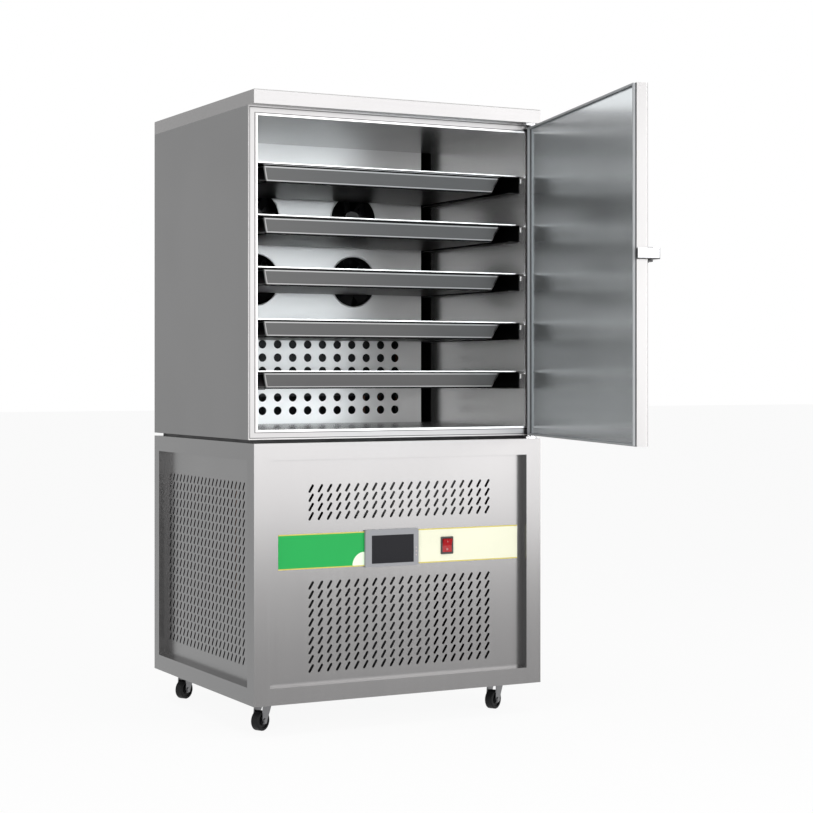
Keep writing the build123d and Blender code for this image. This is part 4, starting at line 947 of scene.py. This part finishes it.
class FREEZER_OT_studio(bpy.types.Operator):
    """Floor, room light, soft boxes and the camera."""

    bl_idname = "freezer.studio"
    bl_label = "Studio"

    def execute(self, context):
        studio = context.scene.freezer_studio
        world_light(context, studio.room, studio.backdrop)
        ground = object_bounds()[0].z
        mesh = bm_mesh("studio_floor", lambda bm: bmesh.ops.create_grid(
            bm, x_segments=8, y_segments=8, size=30, matrix=Matrix.Translation((0, 0, ground))))
        mesh.materials.append(floor_finish(studio.backdrop).material)
        floor = bpy.data.objects.new("studio_floor", mesh)
        context.scene.collection.objects.link(floor)
        floor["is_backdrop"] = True
        soft_box("key_box", place=(1.17, -2.78, 1.01), aim=(-0.10, -0.2, 1.01), size=(1.95, 1.86),
                 power=studio.key)
        soft_box("fill_box", place=(-2.45, -2.45, 0.88), aim=(0.2, 0.0, 0.86), size=(1.5, 1.5),
                 power=studio.fill)
        soft_box("top_box", place=(-0.3, -0.6, 3.4), aim=(0.0, 0.0, 0.8), size=(2.4, 2.4),
                 power=studio.top)
        data = bpy.data.cameras.new("camera")
        data.lens, data.sensor_width, data.shift_y = CAMERA_LENS, CAMERA_SENSOR, CAMERA_SHIFT
        data.clip_end = 100.0
        camera = bpy.data.objects.new("camera", data)
        context.scene.collection.objects.link(camera)
        camera.location = CAMERA_PLACE
        camera.rotation_euler = (math.radians(90), 0, math.radians(CAMERA_TURN))
        context.scene.camera = camera
        context.scene.view_settings.view_transform = "Standard"
        return {"FINISHED"}


STEPS = (
    FREEZER_OT_cabinet, FREEZER_OT_chamber, FREEZER_OT_fans, FREEZER_OT_trays, FREEZER_OT_coils,
    FREEZER_OT_door, FREEZER_OT_strip, FREEZER_OT_marks, FREEZER_OT_machine, FREEZER_OT_filters,
    FREEZER_OT_casters, FREEZER_OT_studio,
)
SETTINGS = (
    ("freezer_colours", FreezerColours), ("freezer_sizes", FreezerSizes), ("freezer_studio", FreezerStudio),
)


class FREEZER_PT_panel(bpy.types.Panel):
    """The freezer's settings and steps in the sidebar."""

    bl_idname = "FREEZER_PT_panel"
    bl_label = "Blast freezer"
    bl_space_type = "VIEW_3D"
    bl_region_type = "UI"
    bl_category = "Freezer"

    def draw(self, context):
        for name, group in SETTINGS:
            box = self.layout.box()
            for key in group.__annotations__:
                box.prop(getattr(context.scene, name), key)
        for step in STEPS:
            self.layout.operator(step.bl_idname, text=step.bl_label)


CLASSES = (*(group for _, group in SETTINGS), *STEPS, FREEZER_PT_panel)


def register():
    for cls in CLASSES:
        bpy.utils.register_class(cls)
    for name, group in SETTINGS:
        setattr(bpy.types.Scene, name, bpy.props.PointerProperty(type=group))


def unregister():
    for name, _ in SETTINGS:
        delattr(bpy.types.Scene, name)
    for cls in reversed(CLASSES):
        bpy.utils.unregister_class(cls)


def main():
    register()
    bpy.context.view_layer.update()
    for step in STEPS:
        group, name = step.bl_idname.split(".")
        getattr(getattr(bpy.ops, group), name)()


if __name__ == "__main__":
    main()
